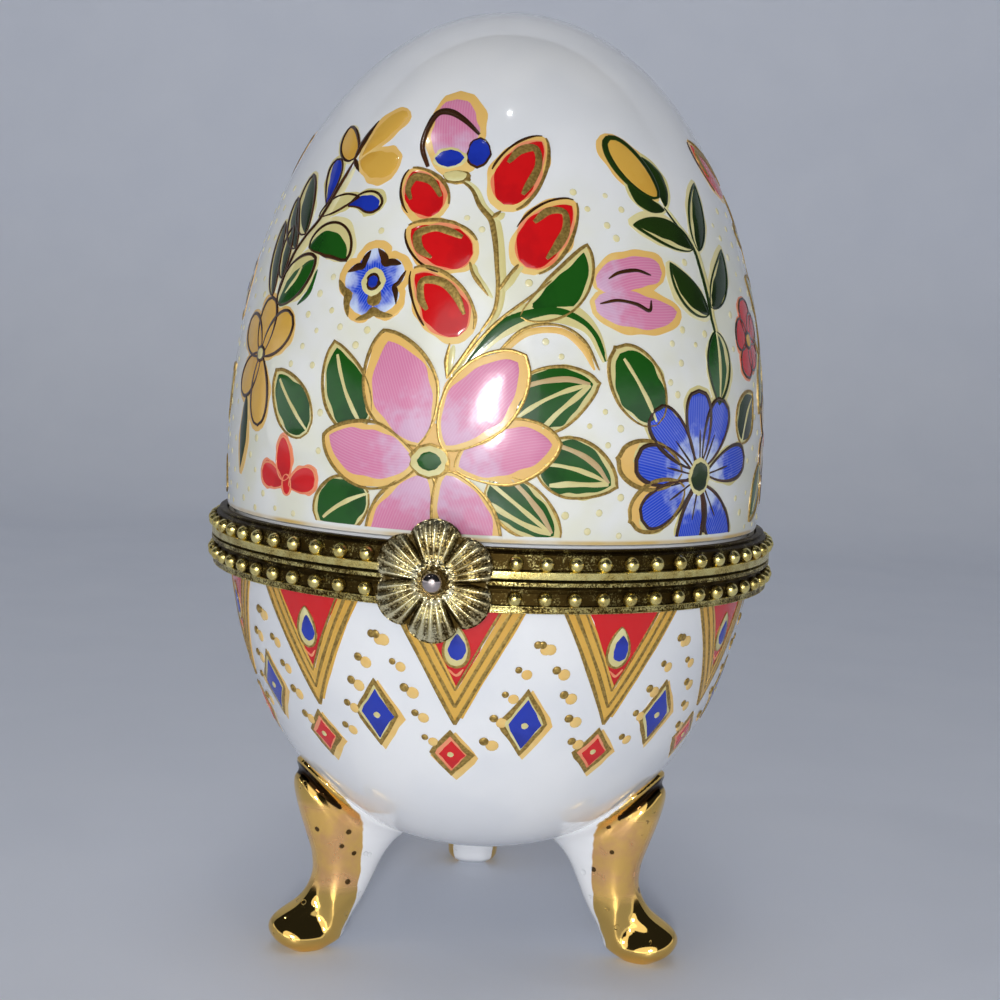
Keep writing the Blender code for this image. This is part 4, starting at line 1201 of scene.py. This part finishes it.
# The flutes of a petal, and how deep they and the grooves between petals are
FLUTES = 5.5
FLUTE_DEPTH = 0.17
GROOVE_DEPTH = 0.5
# The granular ring round the recess
GRANULES = 17
GRANULE_RING = 1.95
# The flower's thickness at its rim, and at its thinnest
RIM_THICKNESS = 0.45
THINNEST = 0.3
RECESS_RADIUS = 1.35
BALL_RADIUS = 0.85
HEAD_RADIUS = 1.15


def make_flower(brass):
    """The clasp's cast flower: six domed and fluted petals round a granular ring and a recess."""
    steps, rings = 432, 64
    theta = np.linspace(0, 2 * np.pi, steps, endpoint=False)
    share = np.linspace(0, 1, rings)
    bloom = np.abs(np.cos(PETALS * theta / 2)) ** 0.7
    outer = NOTCH_RADIUS + (FLOWER_RADIUS - NOTCH_RADIUS) * bloom
    radius = RECESS_RADIUS + (outer[None, :] - RECESS_RADIUS) * share[:, None]
    local = (theta * PETALS / (2 * np.pi) + 0.5) % 1 - 0.5
    spread = 1 - np.abs(local) * 2
    dome = np.sin(np.pi * np.clip(share * 1.02, 0, 1)) ** 0.55
    rise = 0.62 + 0.38 * np.clip(spread, 0, 1) ** 0.5
    body = FLOWER_BACK - FLOWER_FRONT - 0.55
    fade = np.clip((share - 0.16) / 0.16, 0, 1) * np.clip((1 - share) / 0.1, 0, 1) ** 0.5
    jitter = 0.35 * np.sin(3 * theta + 1) + 0.2 * np.sin(7 * theta)
    wave = np.cos(2 * np.pi * FLUTES * local + jitter)
    flute = FLUTE_DEPTH * (wave[None, :] - 1) * fade[:, None]
    deepening = np.clip((share - 0.12) / 0.5, 0, 1)
    groove = -GROOVE_DEPTH * np.exp(-(spread / 0.09) ** 2)[None, :] * deepening[:, None]
    ring_place = np.exp(-((radius - GRANULE_RING) / 0.35) ** 2)
    granule = 0.13 * ring_place * np.cos(GRANULES * theta)[None, :] * np.cos(9 * radius)
    petal = RIM_THICKNESS + body * dome[:, None] * rise[None, :]
    height = petal + flute + groove + granule + 0.25 * ring_place
    height = np.clip(height, THINNEST, FLOWER_BACK - FLOWER_FRONT - 0.02)
    front = FLOWER_BACK - height
    x = radius * np.sin(theta)
    z = FLOWER_CENTRE + radius * np.cos(theta)
    rows = [np.stack([x[row], front[row], z[row]], -1) for row in range(rings)]
    # Patina and painted shade darken the flutes and the grooves; painted shade darkens the rim and, a
    # little, the outer petals
    hollows = np.clip(0.5 - 0.5 * wave, 0, 1) * 0.62
    cracks = 0.85 * np.exp(-(spread / 0.07) ** 2)
    dark = [hollows * fade[row] + cracks * fade[row] + 0.5 * (share[row] > 0.97) + 0.12 * share[row]
            for row in range(rings)]
    # Painted shade: the back edge of the rim is painted dark
    for scale, lift in ((1.0, 0.25), (0.97, 0.0)):
        rows.append(np.stack([x[-1] * scale, np.full(steps, FLOWER_BACK - lift), FLOWER_CENTRE
                              + (z[-1] - FLOWER_CENTRE) * scale], -1))
        dark.append(np.full(steps, 0.8))
    # Painted shade: the bore and the recess round the rivet are painted black
    bore = 0.75
    for hole, lift in ((bore, 0.0), (bore, 0.35), (RECESS_RADIUS, 0.35)):
        rows.append(np.stack([hole * np.sin(theta), np.full(steps, FLOWER_BACK - lift),
                              FLOWER_CENTRE + hole * np.cos(theta)], -1))
        dark.append(np.full(steps, 1.0))
    points = np.concatenate(rows)
    made = new_piece("clasp_blossom", points, ring_faces(len(rows), steps, True), brass, "clasp",
                     60)
    store(made.data, "tarnish_and_shade", np.clip(np.concatenate(dark), 0, 1))
    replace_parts(made, "clasp_flower")


# The feet, as the CAD model has them: height share, inner and outer face, and width share
FOOT_TOP = 26.2
FOOT_REACH = 25.0
TOE_DEPTH = 9.2
TOE_WIDTH = 8.2
FOOT_SQUARENESS = 2.5
FOOT_SECTIONS = ((0.0, -0.283, 0.283, 0.71), (0.038, -0.49, 0.446, 0.9), (0.099, -0.58, 0.543, 1.0),
                 (0.164, -0.68, 0.467, 1.0), (0.237, -0.81, 0.13, 0.95), (0.336, -0.96, -0.08, 0.9),
                 (0.45, -1.12, -0.09, 0.93), (0.573, -1.31, 0.01, 1.05), (0.695, -1.45, 0.125, 1.17),
                 (0.817, -1.49, 0.215, 1.22), (0.927, -1.49, 0.265, 0.98), (1.0, -1.49, 0.27, 0.63))
FEET = {"foot_left": -55, "foot_right": 75, "foot_rear": 190}
# How far round the foot the gilding reaches at each height share: 1 is its front and -1 its back
GILDING_EDGE = ((0, -0.78), (0.15, -0.75), (0.26, -0.5), (0.33, -0.27), (0.5, -0.05), (0.67, 0.06),
                (0.74, 0.15), (0.82, 0.38), (0.92, 0.62), (1, 0.75))
# How far the foot spreads at the belly, and how deep the fold under that fillet is
FILLET = 1.1
SHOULDER = 0.75
# The soft fillet of the white side
WHITE_FILLET = 1.7
# How much narrower the toe's domed top is than its foot
DOME = 0.38


def foot_sections(count):
    """The foot's sections, made dense by a smooth curve through them."""
    table = np.array(FOOT_SECTIONS)
    share = np.linspace(0, 1, count) ** 1.15
    slopes = np.gradient(table[:, 1:], table[:, 0], axis=0)
    dense = []
    for height in share:
        number = min(int(np.searchsorted(table[:, 0], height, "right")) - 1, len(table) - 2)
        span = table[number + 1, 0] - table[number, 0]
        t = (height - table[number, 0]) / span
        start, stop = table[number, 1:], table[number + 1, 1:]
        rise, fall = (t ** 3 - 2 * t ** 2 + t) * span, (t ** 3 - t ** 2) * span
        dense.append((2 * t ** 3 - 3 * t ** 2 + 1) * start + rise * slopes[number]
                     + (3 * t ** 2 - 2 * t ** 3) * stop + fall * slopes[number + 1])
    return share, np.array(dense)


# The egg's underside, from its bottom pole to the waist
UNDER_ARC = np.arange(0, np.interp(WAIST_HEIGHT, EGG_HEIGHT, EGG_ARC), 0.08)
UNDER_RADIUS = np.interp(UNDER_ARC, EGG_ARC, EGG_RADIUS)
UNDER_HEIGHT = np.interp(UNDER_ARC, EGG_ARC, EGG_HEIGHT)


def outside_egg(points):
    """How far points lie outside the egg's underside, in mm."""
    radius, height = np.hypot(points[:, 0], points[:, 1])[:, None], points[:, 2:]
    away = np.hypot(radius - UNDER_RADIUS, height - UNDER_HEIGHT).min(1)
    surface = np.interp(points[:, 2], UNDER_HEIGHT, UNDER_RADIUS)
    inside = (points[:, 2] > EGG_FOOT) & (radius[:, 0] < surface)
    return np.where(inside, -away, away)


def eased(value, low, high):
    """0 below low, 1 above high and smooth between."""
    share = np.clip((value - low) / (high - low), 0, 1)
    return share * share * (3 - 2 * share)


def make_foot(node, azimuth, finish):
    """A cast foot with a domed toe and a soft knee, that flares where it is luted to the belly."""
    sides = 96
    share, sections = foot_sections(96)
    angles = np.linspace(0, 2 * np.pi, sides, endpoint=False)
    power = 2 / FOOT_SQUARENESS
    across = np.abs(np.cos(angles)) ** power * np.sign(np.cos(angles))
    along = np.abs(np.sin(angles)) ** power * np.sign(np.sin(angles))
    heading = math.radians(azimuth)
    rows, fronts, polish, fold_shades = [], [], [], []
    # The outward face has a rolled edge with a fold under it, and the white side a soft fillet
    outward = eased(along, -0.1, 0.45)
    for height_share, (inner, outer, width) in zip(share, sections):
        height = height_share * FOOT_TOP
        # Near its top the outward face draws in under the belly
        outer -= 0.17 * max(0.0, (height_share - 0.88) / 0.12) ** 1.5
        middle, half_depth = (inner + outer) / 2 * TOE_DEPTH, (outer - inner) / 2 * TOE_DEPTH
        x, y = width * TOE_WIDTH / 2 * across, half_depth * along
        # In front of the leg the toe's sides lean in, so its top is a dome
        dome = eased(height, 1.2, 5) * (1 - eased(height, 6, 11)) * eased(middle + y, -2.6, -0.6)
        x = x * (1 - DOME * dome)
        facing = np.stack([across * half_depth, along * width * TOE_WIDTH / 2])
        facing /= np.hypot(*facing)
        points = np.stack([x, -(FOOT_REACH + middle + y), np.full(sides, height)], -1)
        gap = outside_egg(points)
        upper = eased(height, 9, 13) * (1 - 0.7 * eased(height_share, 0.9, 1.0))
        rolled = FILLET * np.exp(-np.abs(gap) / 0.55) - SHOULDER * np.exp(-((gap - 1.5) / 0.8) ** 2)
        soft = WHITE_FILLET * np.exp(-np.abs(gap) / 1.3)
        spread = upper * (outward * rolled + (1 - outward) * soft)
        half_fold = 0.8 * np.sqrt(np.clip((along - 0.4) / 0.4, 0, 1)) + 1e-3
        # Painted shade: the fold under the rolled edge is marked to be painted nearly black
        fold_shades.append(eased(height, 14, 17) * np.clip(1.4 - np.abs(gap - 1.25) / half_fold, 0, 1))
        points[:, 0] += facing[0] * spread
        points[:, 1] -= facing[1] * spread
        # Inside the egg the foot ends in the thickness of the bowl
        radius = np.hypot(points[:, 0], points[:, 1])
        points[:, 2] = np.minimum(points[:, 2], np.interp(radius, UNDER_RADIUS, UNDER_HEIGHT) + 0.8)
        rows.append(points)
        fronts.append(along - np.interp(height_share, *np.transpose(GILDING_EDGE)))
        toe = min(max((0.34 - height_share) / 0.06, 0.0), 1.0)
        shoulder = min(max((height_share - 0.74) / 0.06, 0.0), 1.0)
        polish.append(np.full(sides, toe + shoulder))
    points = np.concatenate(rows)
    turn = np.array([[math.cos(heading), -math.sin(heading)], [math.sin(heading), math.cos(heading)]])
    points[:, :2] = points[:, :2] @ turn.T
    faces = ring_faces(len(rows), sides, False)
    faces += [tuple(range(sides)), tuple((len(rows) - 1) * sides + n for n in range(sides))]
    made = new_piece(node + "_casting", points, faces, finish, "base", 60)
    store(made.data, "front", np.concatenate(fronts))
    store(made.data, "polish", np.concatenate(polish))
    store(made.data, "fold", np.concatenate(fold_shades))
    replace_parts(made, node)


# The small hardware's rounded edges in mm, and its even tarnish
EDGE_BEVEL = 0.12
HARDWARE_TARNISH = 0.28


def refined(node, finish, body):
    """A copy of a CAD node's mesh with its seams merged and its edges rounded."""
    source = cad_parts[node]
    bm = bmesh.new()
    bm.from_mesh(source.data)
    bmesh.ops.remove_doubles(bm, verts=bm.verts, dist=1e-6)
    bmesh.ops.dissolve_limit(bm, angle_limit=math.radians(1), verts=bm.verts, edges=bm.edges)
    bm.normal_update()
    edges = [edge for edge in bm.edges if edge.is_manifold and edge.calc_face_angle() > math.radians(35)]
    bmesh.ops.bevel(bm, geom=edges, offset=EDGE_BEVEL * MM, segments=2, profile=0.5, affect="EDGES",
                    clamp_overlap=True)
    bmesh.ops.triangulate(bm, faces=bm.faces)
    mesh = bpy.data.meshes.new(node + "_finished")
    bm.to_mesh(mesh)
    bm.free()
    mesh.shade_smooth()
    mesh.set_sharp_from_angle(angle=math.radians(50))
    mesh.materials.append(finish)
    made = add_object(node + "_finished", mesh)
    store(mesh, "tarnish_and_shade", np.full(len(mesh.vertices), HARDWARE_TARNISH))
    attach(made, body)
    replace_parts(made, node)


def make_rivet(steel):
    """The clasp's turned rivet: a ball head on a shank that is spread behind the tongue."""
    front, back = corner("clasp_rivet", 0, 1), corner("clasp_rivet", 1, 1)
    height = (corner("clasp_rivet", 0, 2) + corner("clasp_rivet", 1, 2)) / 2
    shank = 0.45
    turns = np.linspace(0, math.pi - math.asin(shank / HEAD_RADIUS), 22)
    profile = [(HEAD_RADIUS * math.sin(turn), front + BALL_RADIUS * (1 - math.cos(turn))) for turn in turns]
    tail = min((corner("clasp_rivet", 1, 0) - corner("clasp_rivet", 0, 0)) / 2, 0.9)
    profile += [(shank, back - 0.4), (tail, back - 0.36), (tail, back - 0.1), (tail - 0.1, back),
                (0.0, back)]
    points, steps = [], 40
    for radius, y in profile[1:-1]:
        for number in range(steps):
            angle = 2 * math.pi * number / steps
            points.append((radius * math.sin(angle), y, height + radius * math.cos(angle)))
    rings = len(profile) - 2
    faces = ring_faces(rings, steps, False)
    for ring, y in ((0, front), (rings - 1, back)):
        points.append((0.0, y, height))
        faces += [(ring * steps + n, ring * steps + (n + 1) % steps, len(points) - 1) for n in range(steps)]
    made = new_piece("clasp_rivet_turned", points, faces, steel, "clasp", 45)
    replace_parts(made, "clasp_rivet")


def make_hardware(brass, steel, cement, lustre):
    for node, azimuth in FEET.items():
        make_foot(node, azimuth, lustre)
    make_rivet(steel)
    for node, body in (("clasp_tongue", "clasp"), ("base_hinge_leaf", "base"), ("lid_hinge_leaf", "lid"),
                       ("catch", "base")):
        refined(node, brass, body)
    refined("hinge_pin", steel, "base")
    for node in ("base_cement", "lid_cement"):
        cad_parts[node].material_slots[0].material = cement


# How far round the object the photograph's camera stands, in degrees
VIEW_TURN = 8.4


def set_up_camera():
    """The photograph's view: a lens of about 50 mm, 193 mm away, a little above and turned."""
    pitch, roll, turn = math.radians(5.97), math.radians(2.81), math.radians(VIEW_TURN)
    right = Vector((1, 0, 0))
    up = Vector((0, math.sin(pitch), math.cos(pitch)))
    ahead = Vector((0, math.cos(pitch), -math.sin(pitch)))
    axes = Matrix((right * math.cos(roll) + up * math.sin(roll),
                   up * math.cos(roll) - right * math.sin(roll), -ahead)).transposed()
    place = Matrix.Translation(Vector((1.06, -193.1, 79.1)) * MM) @ axes.to_4x4()
    data = bpy.data.cameras.new("camera")
    data.lens = 50.4
    data.sensor_width = 36
    data.shift_y = 0.0094
    data.clip_start = 0.005
    camera = add_object("camera", data)
    camera.matrix_world = Matrix.Rotation(turn, 4, "Z") @ place
    bpy.context.scene.camera = camera


def add_lamp(name, place, aim, size, power, only=None):
    """A soft round lamp at place, aimed at a point, in metres and watts. only names what it lights."""
    data = bpy.data.lights.new(name, "AREA")
    data.shape = "DISK"
    data.size = size
    data.energy = power
    lamp = add_object(name, data)
    lamp.location = place
    lamp.rotation_euler = (Vector(aim) - Vector(place)).to_track_quat("-Z", "Y").to_euler()
    if only:
        lit = bpy.data.collections.new(name + "_lights")
        lit.objects.link(only)
        lamp.light_linking.receiver_collection = lit


def set_the_stage():
    """A pale board that curves up behind the object, lit by a soft key, a fill and small lamps."""
    depth, reach, bend, rise = 0.42, 1.6, 0.16, 1.3
    line = [(-reach, 0.0), (depth, 0.0)]
    for step in range(1, 13):
        angle = math.pi / 2 * step / 12
        line.append((depth + bend * math.sin(angle), bend * (1 - math.cos(angle))))
    line.append((depth + bend, rise))
    points = [(side * reach, y, z) for y, z in line for side in (-1, 1)]
    faces = [(n, n + 1, n + 3, n + 2) for n in range(0, 2 * len(line) - 2, 2)]
    mesh = bpy.data.meshes.new("board")
    mesh.from_pydata(points, [], faces)
    board = add_object("board", mesh)
    board.matrix_world = Matrix.Rotation(math.radians(VIEW_TURN), 4, "Z")
    mesh.shade_smooth()
    mesh.materials.append(pale_floor())
    middle = (0, 0, 0.07)
    add_lamp("key", (0.058, -0.528, 0.142), middle, 0.07, 1.15)
    add_lamp("front_wall", (0.0, -0.62, 0.1), middle, 0.6, 0.95)
    add_lamp("left_ceiling", (-0.62, -0.43, 1.13), middle, 0.035, 0.4)
    add_lamp("right_ceiling", (0.05, -0.4, 1.31), middle, 0.03, 0.2)
    add_lamp("board_light", (0.0, -0.2, 1.4), (0.0, 0.2, 0.0), 0.8, 3.2, board)
    world = bpy.data.worlds.new("room")
    world.use_nodes = True
    tree = world.node_tree
    shine = tree.nodes["Background"]
    way = add_node(tree, "ShaderNodeTexCoord").outputs["Generated"]
    rise = add_node(tree, "ShaderNodeSeparateXYZ", {0: way}).outputs["Z"]
    above = ranged(tree, rise, 0.12, 0.2)
    # The walls are pale up to head height, and the ceiling is dark, so metal shows both
    room = mixed(tree, above, colour("#DDE0E8"), colour("#26282C"))
    tree.links.new(room, shine.inputs["Color"])
    shine.inputs["Strength"].default_value = 0.95
    bpy.context.scene.world = world
    bpy.context.scene.view_settings.view_transform = "Standard"


set_up_camera()
set_the_stage()
glaze = glazed_porcelain()
rubbed_from = (BAND_OUTER - 0.1, LIP_RADIUS + 0.1)
band_brass = antique_brass("antique_brass_bands", "#FCEC9C", "#E8CE78", rubbed_from)
blossom_brass = antique_brass("antique_brass_cast", "#FAF0C4", "#E6D298")
make_shells(glaze)
make_bands(band_brass)
make_flower(blossom_brass)
make_hardware(blossom_brass, polished_steel(), plaster_cement(), lustred_porcelain())
make_enamels()
